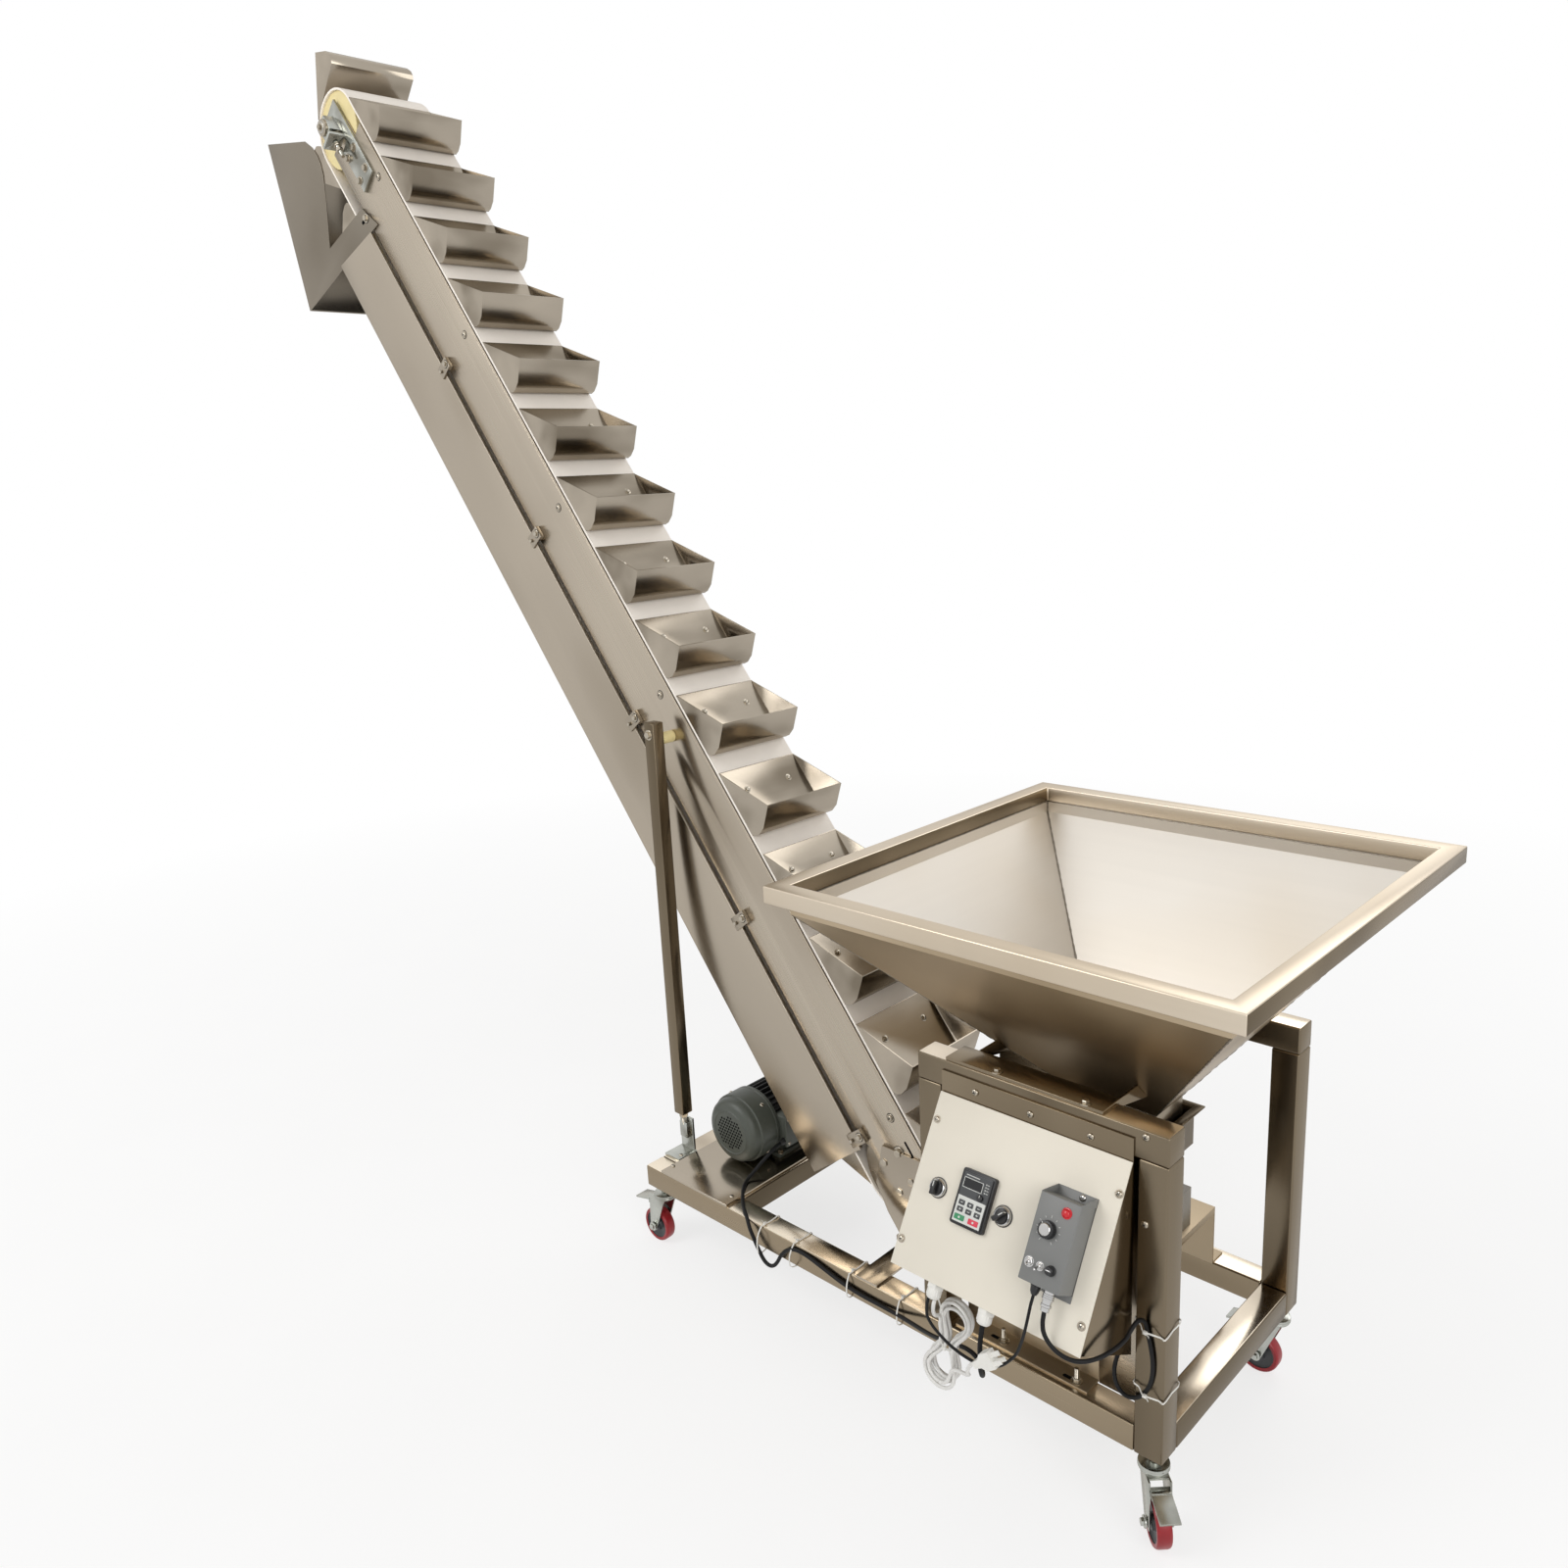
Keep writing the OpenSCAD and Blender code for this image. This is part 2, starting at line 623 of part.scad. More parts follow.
module fork(k) {
    c = casters[k];
    color("silver") place() translate([c[0], c[1], 0]) rotate([0, 0, c[2]]) {
        difference() {
            union() {
                translate([0, 0, -31]) cylinder(r = 25, h = 10.5, $fn = 64);
                translate([0, -19, -34]) cube([trail, 38, 3]);
                for (y = [-19, 16]) along_y(y, y + 3) polygon([[-16, -31], [trail + 8, -31],
                    [trail + 12, wheel_r - caster_height - 8], [trail - 8, wheel_r - caster_height - 8]]);
            }
            translate([0, 0, -36]) cylinder(r = 6.05, h = 20, $fn = 32);
        }
        translate([trail, 0, wheel_r - caster_height]) rod_y(4, -22, 22, 24);
        // brake pedal
        translate([trail + 12, -17, -50]) rotate([0, 14, 0]) cube([50, 34, 4]);
        bar([trail + 2, -16, -58], [trail + 16, 16, -44]);
    }
}

module wheel(k) {
    c = casters[k];
    color("darkred") place() translate([c[0], c[1], 0]) rotate([0, 0, c[2]])
        translate([trail, 0, wheel_r - caster_height]) difference() {
            rod_y(wheel_r, -13, 13, 96);
            rod_y(4.05, -14, 14, 24);
        }
}

module fork_nl() fork(0);
module fork_nr() fork(1);
module fork_fl() fork(2);
module fork_fr() fork(3);
module wheel_nl() wheel(0);
module wheel_nr() wheel(1);
module wheel_fl() wheel(2);
module wheel_fr() wheel(3);

function unit(v) = v / norm(v);
function span(a, b, c, d, t) = (2 * b + (c - a) * t + (2 * a - 5 * b + 4 * c - d) * t * t
    + (3 * b - a - 3 * c + d) * t * t * t) / 2;
// A smooth curve through the points, with two steps to each span.
function curve(p) = [for (i = [0:len(p) - 2]) for (t = [0, 0.5])
    span(p[max(i - 1, 0)], p[i], p[i + 1], p[min(i + 2, len(p) - 1)], t), p[len(p) - 1]];
function heading(p, i) = unit(p[min(i + 1, len(p) - 1)] - p[max(i - 1, 0)]);
// A side direction at each point, carried along without a twist.
function sides(p, i, n) = i == len(p) ? [] : let (t = heading(p, i), m = unit(n - (n * t) * t))
    concat([m], sides(p, i + 1, m));

// A round cord of diameter d through the route's points, as one closed skin.
module cord(route, d, k = 10) {
    p = curve(route);
    n = sides(p, 0, [0.8, 0.5, 0.4]);
    ring = [for (i = [0:len(p) - 1]) for (j = [0:k - 1]) p[i] + d / 2 * (cos(360 * j / k) * n[i]
        + sin(360 * j / k) * cross(heading(p, i), n[i]))];
    skin = [for (i = [0:len(p) - 2]) for (j = [0:k - 1]) for (f = [
        [i * k + j, i * k + j + k, i * k + (j + 1) % k + k],
        [i * k + j, i * k + (j + 1) % k + k, i * k + (j + 1) % k]]) f];
    ends = [[for (j = [0:k - 1]) j], [for (j = [k - 1:-1:0]) (len(p) - 1) * k + j]];
    polyhedron(ring, concat(skin, ends), convexity = 6);
}

module motor_cable() { color("black") place() cord(motor_route, 8); }
module link_cord() { color("black") place() cord(link_route, 5); }
module feeder_cord() { color("black") place() cord(feeder_route, 7); }
module mains_lead() {
    color("white") place() {
        cord(lead_route, 6.5);
        cord(tail_route, 6.5);
    }
}

// The spare mains lead, folded into a hank.
module cable_hank() {
    color("white") place() along_y(hank_y - hank_t / 2, hank_y + hank_t / 2) hull() for (c = hank_ends) translate(c)
        circle(r = hank_r, $fn = 32);
}

// A mains plug with three flat pins, its pins up the lead's own line.
module mains_plug() {
    color("white") place() translate([-229, -176, 181]) rotate([0, -38, 0]) {
        along_y(-8, 8) polygon([[0, -5], [16, -7], [24, -14], [44, -14], [44, 14], [24, 14], [16, 7], [0, 5]]);
        bar([44, -0.9, 2], [61, 0.9, 10]);
        bar([44, -6, -10], [61, -4.2, -3]);
        bar([44, 4.2, -10], [61, 6, -3]);
    }
}

base_rails();
base_cross();
motor_plate();
portal_posts();
portal_rails();
post_sheet();
feeder_stand();
feeder_base();
feeder_springs();
tray();
hopper_rim();
hopper_cone();
hopper_neck();
hopper_brackets();
side_plates();
frame_ties();
return_guard();
guard_clips();
belt();
pulleys();
shafts();
takeups();
boot_brackets();
buckets_carry();
buckets_turn();
buckets_return();
chute();
struts();
strut_feet();
strut_spacers();
motor();
fan_cowl();
gearbox();
chain_guard();
cabinet();
control_panel();
keypad();
controller_box();
controller_connectors();
selector_bezels();
selector_left();
selector_right();
dial_knob();
cable_glands();
caster_stems();
fork_nl();
fork_nr();
fork_fl();
fork_fr();
wheel_nl();
wheel_nr();
wheel_fl();
wheel_fr();
motor_cable();
link_cord();
feeder_cord();
mains_lead();
cable_hank();
mains_plug();
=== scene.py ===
"""Looks of a wheeled bucket elevator: materials, fasteners, panel details, cords, lights and the camera.

Places are written in the machine frame of the part's source, in millimetres from the near right corner
of the base, and at() turns them to the row frame in metres.
"""

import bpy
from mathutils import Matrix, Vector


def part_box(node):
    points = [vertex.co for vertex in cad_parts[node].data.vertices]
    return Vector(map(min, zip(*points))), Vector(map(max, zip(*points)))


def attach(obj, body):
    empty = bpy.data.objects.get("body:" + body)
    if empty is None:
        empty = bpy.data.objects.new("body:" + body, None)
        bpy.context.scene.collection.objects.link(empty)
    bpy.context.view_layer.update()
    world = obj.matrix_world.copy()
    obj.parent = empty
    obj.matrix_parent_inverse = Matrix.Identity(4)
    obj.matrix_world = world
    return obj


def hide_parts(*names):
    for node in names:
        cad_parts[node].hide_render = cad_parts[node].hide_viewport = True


bl_info = {
    "name": "Bucket Elevator Looks",
    "version": (1, 0, 0),
    "blender": (4, 5, 0),
    "location": "3D View > Sidebar > Elevator",
    "description": "Dresses the packed bucket elevator with materials, fasteners, cords, lights and a camera",
    "category": "Object",
}

from math import cos, hypot, pi, radians, sin, sqrt

import bmesh
import bpy
from mathutils import Matrix, Vector

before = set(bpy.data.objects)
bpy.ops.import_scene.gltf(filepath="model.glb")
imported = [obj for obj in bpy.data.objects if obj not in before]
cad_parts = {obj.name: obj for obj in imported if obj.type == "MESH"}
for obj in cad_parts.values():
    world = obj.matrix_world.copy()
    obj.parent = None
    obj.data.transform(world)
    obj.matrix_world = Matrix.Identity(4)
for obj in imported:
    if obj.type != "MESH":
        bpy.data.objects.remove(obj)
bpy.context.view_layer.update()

# Places: the row frame's shift, the slope, its head shaft, the middle plane, the near side plate's outer face,
# the distance of the shafts, the pulleys' radius, the motor's axis and the struts' x
OFFSET = Vector((1290.61, -262.5, 152.0))
SLOPE = radians(52.6)
HEAD = Vector((-2374.98, 0.0, 2464.11))
MID = 262.5
PLATE_Y = 150.0
SHAFTS_APART, PULLEY, BUCKETS = 2845, 95, 32
MOTOR_AXIS = (-1112, 0, 136)
STRUT_X = -1247
# The panel's tilt, how far its face and the control box's face stand out, and where its turning parts are
TILT = radians(30.3)
PANEL_FACE, BOX_FACE = 3, 53
DIAL, SELECTOR_V = (284, 135), 151
SELECTORS = (("selector_left", 49, 0), ("selector_right", 178, -45))
# Each caster's place and heading
CASTERS = (("nl", -1246, 27, 180), ("nr", -27, 27, -45), ("fl", -1246, 498, 180), ("fr", -27, 498, 180))
SLOPE_X = Vector((cos(SLOPE), 0, -sin(SLOPE)))
SLOPE_N = Vector((sin(SLOPE), 0, cos(SLOPE)))
PANEL_V = Vector((0, -sin(TILT), -cos(TILT)))
PANEL_W = Vector((0, -cos(TILT), sin(TILT)))
X, Y, Z = Vector((1, 0, 0)), Vector((0, 1, 0)), Vector((0, 0, 1))


def at(x, y, z):
    """A place in the machine frame, in millimetres, as metres in the row frame."""
    return (Vector((x, y, z)) + OFFSET) * 0.001


def on_slope(d, y, n):
    """A place d down the slope from the head shaft, y across and n out of the belt."""
    return at(*(HEAD + SLOPE_X * d + SLOPE_N * n + Vector((0, y, 0))))


def on_panel(u, v, w):
    """A place u along the panel, v down its slope and w out of its back face."""
    return at(*(Vector((-417 + u, -4, 521)) + PANEL_V * v + PANEL_W * w))


def axes(origin, z, x):
    """A matrix whose Z and X point along z and x, with its lengths in millimetres."""
    z = z.normalized()
    x = (x - z * x.dot(z)).normalized()
    y = z.cross(x)
    m = Matrix((x, y, z)).transposed().to_4x4()
    return Matrix.Translation(origin) @ m @ Matrix.Scale(0.001, 4)


# Mesh tools

# Edges whose faces turn by more than this, in radians, are rounded.
SHARP = 0.45


def spun(m, angle):
    """The frame m turned about its own Z."""
    return m @ Matrix.Rotation(angle, 4, "Z")


def add(bm, verts, faces, m, mat=0):
    """Adds points in m's frame and their faces to bm."""
    made = [bm.verts.new(m @ Vector(v)) for v in verts]
    for f in faces:
        try:
            bm.faces.new([made[i] for i in f]).material_index = mat
        except ValueError:
            continue


def bevel(bm, width, steps, angle):
    """Rounds the edges of bm that are sharper than the angle."""
    sharp = [e for e in bm.edges if len(e.link_faces) == 2 and e.calc_face_angle(0) > angle]
    bmesh.ops.bevel(bm, geom=sharp, offset=width, segments=steps, profile=0.5, affect="EDGES",
                    clamp_overlap=True)


def circle(r, n, x=0.0, y=0.0):
    """An outline of n points."""
    return [(x + r * cos(2 * pi * k / n), y + r * sin(2 * pi * k / n)) for k in range(n)]


def lathe(bm, profile, m, n, mat=0):
    """Turns a profile of (radius, height) pairs round m's Z; a radius of 0 closes an end."""
    verts, rings = [], []
    for r, z in profile:
        if r < 1e-6:
            rings.append([len(verts)])
            verts.append((0, 0, z))
        else:
            rings.append(list(range(len(verts), len(verts) + n)))
            verts += [(x, y, z) for x, y in circle(r, n)]
    faces = []
    for a, b in zip(rings, rings[1:]):
        for k in range(n):
            j = (k + 1) % n
            quad = [a[k % len(a)], a[j % len(a)], b[j % len(b)], b[k % len(b)]]
            quad = [v for i, v in enumerate(quad) if v != quad[i - 1]]
            if len(quad) > 2:
                faces.append(quad)
    add(bm, verts, faces, m, mat)


def prism(bm, outline, z0, z1, m, mat=0, edge=0.0, steps=2):
    """Raises an outline from z0 to z1 in m's frame, with its sharp edges rounded by edge."""
    part = bmesh.new()
    low = [part.verts.new((x, y, z0)) for x, y in outline]
    high = [part.verts.new((x, y, z1)) for x, y in outline]
    part.faces.new(low[::-1])
    part.faces.new(high)
    for i in range(len(low)):
        j = (i + 1) % len(low)
        part.faces.new((low[i], low[j], high[j], high[i]))
    merge(bm, part, m, mat, edge, steps)


def block(bm, lo, hi, m, mat=0, edge=0.0, steps=2):
    """A box between two corners in m's frame, with rounded edges."""
    (x0, y0, z0), (x1, y1, z1) = lo, hi
    prism(bm, [(x0, y0), (x1, y0), (x1, y1), (x0, y1)], z0, z1, m, mat, edge, steps)


def merge(bm, part, m, mat, edge, steps=2):
    """Adds part to bm, its sharp edges rounded by edge."""
    bmesh.ops.recalc_face_normals(part, faces=part.faces)
    if edge:
        bevel(part, edge, steps, SHARP)
    part.verts.index_update()
    add(bm, [v.co for v in part.verts], [[v.index for v in f.verts] for f in part.faces], m, mat)
    part.free()


def piece(name, bm, finishes, body="machine", replaces=(), crease=35):
    """Makes the mesh in bm, whose finishes are named in one line, a piece that rides on a body."""
    mesh = bpy.data.meshes.new(name)
    bm.to_mesh(mesh)
    bm.free()
    mesh.polygons.foreach_set("use_smooth", [True] * len(mesh.polygons))
    mesh.set_sharp_from_angle(angle=radians(crease))
    obj = bpy.data.objects.new(name, mesh)
    bpy.context.scene.collection.objects.link(obj)
    for f in finishes.split():
        mesh.materials.append(finish(f))
    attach(obj, body)
    if replaces:
        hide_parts(*replaces)


def solid_of(node):
    """A CAD node's solid as one mesh with flat faces joined up."""
    bm = bmesh.new()
    bm.from_mesh(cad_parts[node].data)
    bmesh.ops.remove_doubles(bm, verts=bm.verts, dist=1e-6)
    bmesh.ops.dissolve_limit(bm, angle_limit=radians(0.6), verts=bm.verts, edges=bm.edges)
    return bm


def rounded(node, edge, steps=2, angle=SHARP):
    """A CAD node's solid with its sharp edges rounded by edge millimetres."""
    bm = solid_of(node)
    bevel(bm, edge * 0.001, steps, angle)
    return bm


# Finishes


class Finish:
    """Builds one node material, whose textures lie in the row frame in metres."""

    def __init__(self, name):
        self.mat = bpy.data.materials.new(name)
        self.mat.use_nodes = True
        self.tree = self.mat.node_tree
        self.shader = self.tree.nodes["Principled BSDF"]
        self.place = self.node("ShaderNodeTexCoord").outputs["Object"]

    def feed(self, pairs):
        """Links each value to its input where it is a socket, and sets it there otherwise."""
        for s, v in pairs:
            if isinstance(v, bpy.types.NodeSocket):
                self.tree.links.new(v, s)
            else:
                s.default_value = v

    def node(self, kind, **values):
        n = self.tree.nodes.new(kind)
        self.feed((n.inputs[k], v) for k, v in values.items())
        return n

    def set(self, **values):
        self.feed((self.shader.inputs[k.replace("_", " ")], v) for k, v in values.items())

    def turned(self, scale, turn):
        m = self.node("ShaderNodeMapping", Vector=self.place)
        m.inputs["Rotation"].default_value = turn
        m2 = self.node("ShaderNodeMapping", Vector=m.outputs[0])
        m2.inputs["Scale"].default_value = scale
        return m2.outputs[0]

    def noise(self, scale, detail=3.0, turn=(0, 0, 0), rough=0.5):
        n = self.node("ShaderNodeTexNoise", Vector=self.turned(scale, turn), Scale=1.0, Detail=detail,
                      Roughness=rough)
        return n.outputs["Fac"]

    def ramp(self, fac, *stops):
        r = self.node("ShaderNodeValToRGB", Fac=fac)
        el = r.color_ramp.elements
        while len(el) < len(stops):
            el.new(0.5)
        for e, (p, c) in zip(el, stops):
            e.position = p
            e.color = (*c, 1)
        return r.outputs["Color"]

    def multiply(self, a, b):
        n = self.node("ShaderNodeMix")
        n.data_type, n.blend_type = "RGBA", "MULTIPLY"
        self.feed(((n.inputs[0], 1.0), (n.inputs[6], a), (n.inputs[7], b)))
        return n.outputs[2]

    def math(self, kind, a, b):
        n = self.node("ShaderNodeMath")
        n.operation = kind
        self.feed(zip(n.inputs, (a, b)))
        return n.outputs[0]

    def range(self, fac, lo, hi, f0=0.0, f1=1.0):
        n = self.node("ShaderNodeMapRange", Value=fac)
        for i, v in zip((1, 2, 3, 4), (f0, f1, lo, hi)):
            n.inputs[i].default_value = v
        return n.outputs[0]

    def bump(self, height, strength, distance):
        b = self.node("ShaderNodeBump", Height=height, Strength=strength, Distance=distance)
        self.set(Normal=b.outputs[0])


def shade(color, k):
    """The colour times k, without its alpha and no brighter than 1."""
    return tuple(min(1.0, c * k) for c in color[:3])


PATCH, LINE = (2.2, 2.2, 2.2), 0.025
EDGE_TINT = (0.84, 0.81, 0.77, 1)


def stainless(name, color, rough, grain, cloud, patch=PATCH, line=LINE, turn=(0, 0, 0)):
    """Metal with brush lines, as fine along X, Y and Z as grain says, over slow, browner clouds.
    The clouds are random tone and also painted reflection of the darker surroundings.
    """
    f = Finish(name)
    slow = f.noise(patch, 2.0, turn, 0.45)
    lines = f.noise([g * 0.4 for g in grain], 3.0, turn, 0.6)
    # The clouds' browner dark end paints reflection of darker surroundings, laid at random.
    dark = [c * (1 - cloud) * k for c, k in zip(color, (1.0, 0.96, 0.9))]
    tone = f.ramp(slow, (0.30, dark), (0.52, shade(color, 1.0)), (0.74, shade(color, 1 + cloud * 0.4)))
    tint = f.ramp(lines, (0.25, shade((1, 1, 1), 1 - line)), (0.75, (1, 1, 1)))
    rough_all = f.math("ADD", f.range(lines, -0.03, 0.03), f.range(slow, rough - 0.05, rough + 0.05))
    f.set(Base_Color=f.multiply(tone, tint), Metallic=1.0, Specular_Tint=EDGE_TINT, Roughness=rough_all)
    f.bump(lines, 0.012, 0.0004)
    return f.mat


def painted(name, color, rough, peel, depth, speck):
    """Paint over metal with a light orange peel and a little dust."""
    f = Finish(name)
    slow = f.noise((7, 7, 7), 4.0)
    peel_n = f.noise((peel, peel, peel), 2.0)
    tone = f.ramp(slow, (0.3, shade(color, 1 - speck)), (0.7, shade(color, 1 + speck * 0.5)))
    f.set(Base_Color=tone, Roughness=f.range(slow, rough - 0.06, rough + 0.08))
    f.bump(peel_n, depth, 0.0005)
    return f.mat


def moulded(name, color, rough, grain, depth, speck=0.05, gloss=0.5):
    """Moulded plastic or rubber with a fine grain."""
    f = Finish(name)
    slow = f.noise((22, 22, 22), 3.0)
    fine = f.noise((grain, grain, grain), 2.0)
    f.set(Base_Color=f.ramp(slow, (0.3, shade(color, 1 - speck)), (0.7, shade(color, 1 + speck))),
          Roughness=f.range(fine, rough - 0.05, rough + 0.07), Specular_IOR_Level=gloss)
    f.bump(fine, depth, 0.0002)
    return f.mat


FINISHES = {}


def finish(name):
    """A finish of the table, made when it is first asked for."""
    if name not in FINISHES:
        kind, title, colour, *rest = RECIPES[name]
        if isinstance(colour[0], str):
            colour = shade(getattr(bpy.context.scene.elevator_colours, colour[0]), colour[1])
        FINISHES[name] = kind(title, colour, *rest)
    return FINISHES[name]


def srgb(r, g, b):
    """A colour written as it shows on a screen, 0 to 255, turned to linear."""
    return tuple((c / 255 / 12.92) if c <= 10 else ((c / 255 + 0.055) / 1.055) ** 2.4 for c in (r, g, b))


# Each finish: its kind, its title, its colour (a property of ElevatorColours and a share of it, or a fixed
# one), its roughness, and what else its kind takes, in that kind's order.
RECIPES = {
    # Rows on the darker, browner stainless colour carry painted shade and reflection. Of the tube rows, the
    # first is a painted highlight for faces that look up; the three after it are darker copies whose shares
    # paint the shade on the tubes' sides by their direction.
    "tube_top_highlight": (stainless, "Tube faces under the light", ("steel", 1.9), 0.2, (3, 500, 500), 0.6, (3.2, 4, 4)),
    "tube_x": (stainless, "Stainless tube along X", ("shaded_steel", 1.5), 0.25, (3, 500, 500), 0.3, (1.5, 5, 5)),
    "tube_y": (stainless, "Stainless tube along Y", ("shaded_steel", 0.7), 0.25, (500, 3, 500), 0.4, (5, 1.5, 5)),
    "tube_z": (stainless, "Stainless tube upright", ("shaded_steel", 0.95), 0.25, (500, 500, 3), 0.4, (5, 5, 1.5)),
    "sheet": (stainless, "Stainless sheet", ("steel", 0.85), 0.27, (4, 500, 500), 0.25),
    "stand_sheet": (stainless, "Feeder stand sheet", ("shaded_steel", 1.9), 0.42, (4, 300, 300), 0.25),
    "plate": (stainless, "Polished plate", ("steel", 0.95), 0.16, (4, 400, 400), 0.4),
    "dark_plate": (stainless, "Dark polished plate", ("shaded_steel", 1.2), 0.2, (4, 400, 400), 0.35),
    "tray_sheet": (stainless, "Feeder tray sheet", ("shaded_steel", 1.1), 0.26, (4, 400, 400), 0.3),
    "slope_sheet": (stainless, "Stainless sheet on the slope", ("steel", 1.06), 0.26, (2.5, 420, 420), 0.3,
                    (1.6, 3, 3), LINE, (0, -SLOPE, 0)),
    "guard_sheet": (stainless, "Return guard sheet", ("steel", 0.98), 0.24, (2.5, 420, 420), 0.3,
                    (1.3, 3, 3), LINE, (0, -SLOPE, 0)),
    "chute_sheet": (stainless, "Chute sheet", ("steel", 0.55), 0.24, (2.5, 420, 420), 0.3,
                    PATCH, LINE, (0, -SLOPE + 0.4, 0)),
    "bucket_sheet": (stainless, "Bucket sheet", ("steel", 0.88), 0.2, (380, 4, 380), 0.45, (9, 4, 9)),
    "rim": (stainless, "Brushed rim", ("steel", 1.55), 0.34, (5, 5, 400), 0.12),
    "rim_side": (stainless, "Rim side", ("shaded_steel", 1.1), 0.26, (400, 5, 400), 0.5, (3, 3, 3)),
    "hopper_in": (stainless, "Hopper inside", srgb(212, 206, 197), 0.42, (3, 3, 200), 0.06, PATCH, 0.03),
    "hopper_out": (stainless, "Polished hopper outside", ("shaded_steel", 2.5), 0.34, (3, 3, 60), 0.3, PATCH, 0.03),
    "zinc": (stainless, "Bright zinc", srgb(184, 186, 180), 0.22, (260, 260, 260), 0.45, (14, 14, 14), 0.06),
    "turned": (stainless, "Turned steel", srgb(188, 186, 180), 0.22, (1200, 30, 1200), 0.15),
    "bolt": (stainless, "Stainless fastener", srgb(186, 178, 164), 0.2, (500, 500, 500), 0.25, PATCH, 0.12),
    "weld": (stainless, "Ground weld", ("steel", 0.6), 0.42, (900, 900, 900), 0.4, PATCH, 0.35),
    "chrome": (stainless, "Chrome plate", srgb(196, 196, 196), 0.1, (200, 200, 200), 0.12, PATCH, 0.02),
    "cream": (painted, "Cream panel paint", ("panel", 1), 0.42, 600, 0.05, 0.02),
    "control_grey": (painted, "Controller grey paint", ("controller", 1), 0.4, 900, 0.18, 0.06),
    "motor_grey": (painted, "Motor paint", ("motor", 0.6), 0.42, 500, 0.2, 0.12),
    "fin_black": (painted, "Black motor body", srgb(34, 35, 34), 0.45, 500, 0.3, 0.25),
    "hammered": (painted, "Hammered grey paint", srgb(116, 108, 94), 0.34, 160, 0.4, 0.12),
    "belt": (moulded, "Cream belt cover", ("belt", 1.14), 0.5, 1400, 0.12, 0.02),
    "nylon": (moulded, "Cast nylon", srgb(232, 216, 160), 0.4, 300, 0.1, 0.06),
    "black": (moulded, "Black plastic", srgb(24, 24, 26), 0.36, 1200, 0.08),
    "hole": (moulded, "Dark of a hole", (0.003, 0.003, 0.003), 0.8, 900, 0.02, 0.05, 0.03),
    "dark_grey": (moulded, "Dark grey plastic", srgb(58, 60, 62), 0.4, 1200, 0.08),
    "white": (moulded, "White plastic", srgb(232, 231, 226), 0.36, 1200, 0.06, 0.02),
    "white_jacket": (moulded, "White cable jacket", srgb(228, 227, 224), 0.4, 900, 0.08, 0.03),
    "black_jacket": (moulded, "Black cable jacket", srgb(14, 14, 15), 0.55, 1100, 0.1, 0.12, 0.25),
    "wheel_red": (moulded, "Red polyurethane tyre", ("wheel", 1), 0.34, 500, 0.12, 0.12),
    "red_lamp": (moulded, "Red lamp lens", srgb(200, 26, 38), 0.14, 200, 0.02),
    "red_key": (moulded, "Red key", srgb(214, 64, 84), 0.5, 900, 0.05),
    "green_key": (moulded, "Green key", srgb(58, 140, 96), 0.5, 900, 0.05),
    "light_key": (moulded, "Light keypad face", srgb(214, 216, 212), 0.5, 900, 0.05),
    "window": (moulded, "Dark display window", srgb(16, 17, 19), 0.12, 300, 0.01),
}


def dress(node, name):
    """Gives a carried-over CAD node its finish."""
    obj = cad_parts[node]
    obj.data.materials.clear()
    obj.data.materials.append(finish(name))


# Cords

MOTOR_ROUTE = [(-1022, 188, 112), (-1022, 172, 110), (-1024, 152, 101), (-1029, 132, 87), (-1033, 112, 73),
    (-1033, 92, 63), (-1022, 70, 61), (-998, 42, 60), (-966, 14, 60), (-940, -2, 56), (-924, -10, 40),
    (-914, -10, 22), (-906, -10, 8), (-898, -10, -4), (-889, -10, -16), (-878, -10, -23), (-866, -10, -23),
    (-855, -10, -16), (-846, -9, -4), (-836, -8, 14), (-821, -6, 31), (-798, -5, 42), (-765, -5, 43),
    (-718, -5, 34), (-672, -5, 25), (-624, -5, 21), (-576, -5, 21), (-530, -8, 24), (-484, -20, 34),
    (-438, -39, 51), (-392, -62, 75), (-348, -84, 102), (-308, -98, 121), (-280, -109, 128), (-260, -120, 126),
    (-244, -137, 128), (-235, -153, 143), (-231, -161.5, 166), (-231, -161.5, 206), (-231, -154, 236.5)]
LINK_ROUTE = [(-338, -154, 236.5), (-337, -161, 224.5), (-330, -169, 214), (-318, -172, 204),
    (-304, -171, 193), (-290, -168, 182), (-277, -163, 172), (-261, -158, 164), (-241, -154, 160),
    (-220, -152, 164), (-201, -150, 175), (-184, -150, 193), (-169, -152, 215), (-158, -157, 240),
    (-149, -162, 264), (-143, -164, 286), (-140, -162, 305), (-140, -156, 319), (-140, -148.3, 331.5)]
FEEDER_ROUTE = [(-116, -156.3, 317.8), (-115, -162, 304), (-112, -164, 289), (-104, -163, 275),
    (-92, -162, 266), (-77, -161, 262), (-63, -156, 260), (-52, -146, 259), (-45, -131, 257), (-41, -113, 254),
    (-38, -93, 252), (-37, -72, 250), (-37, -52, 250), (-37, -38, 256), (-36, -28, 261), (-35, -20, 263),
    (-33, -12, 261), (-31, -6, 255), (-29, -4, 246), (-26, -4, 234), (-21, -4, 214), (-17, -4, 187),
    (-18, -4, 159), (-25, -4, 134), (-39, -4, 113), (-58, -4, 103), (-74, -2, 106), (-85, 2, 120),
    (-88, 7, 140), (-84, 13, 164), (-77, 20, 187), (-69, 31, 208), (-63, 44, 222), (-62, 60, 227),
    (-68, 82, 225), (-84, 106, 219), (-106, 127, 214), (-124, 136, 214), (-139.6, 139, 214)]
LEAD_ROUTE = [(-326, -154, 236.5), (-326.2, -156.7, 230.1), (-326.6, -157.6, 223.1), (-327.2, -156.6, 216.2),
    (-328, -153.8, 209.8), (-328.9, -149.4, 204.4), (-329.8, -143.7, 200.3), (-330.7, -139.1, 197.2),
    (-331.5, -135.2, 193.1), (-332.1, -132.3, 188.3), (-332.5, -130.5, 182.9)]
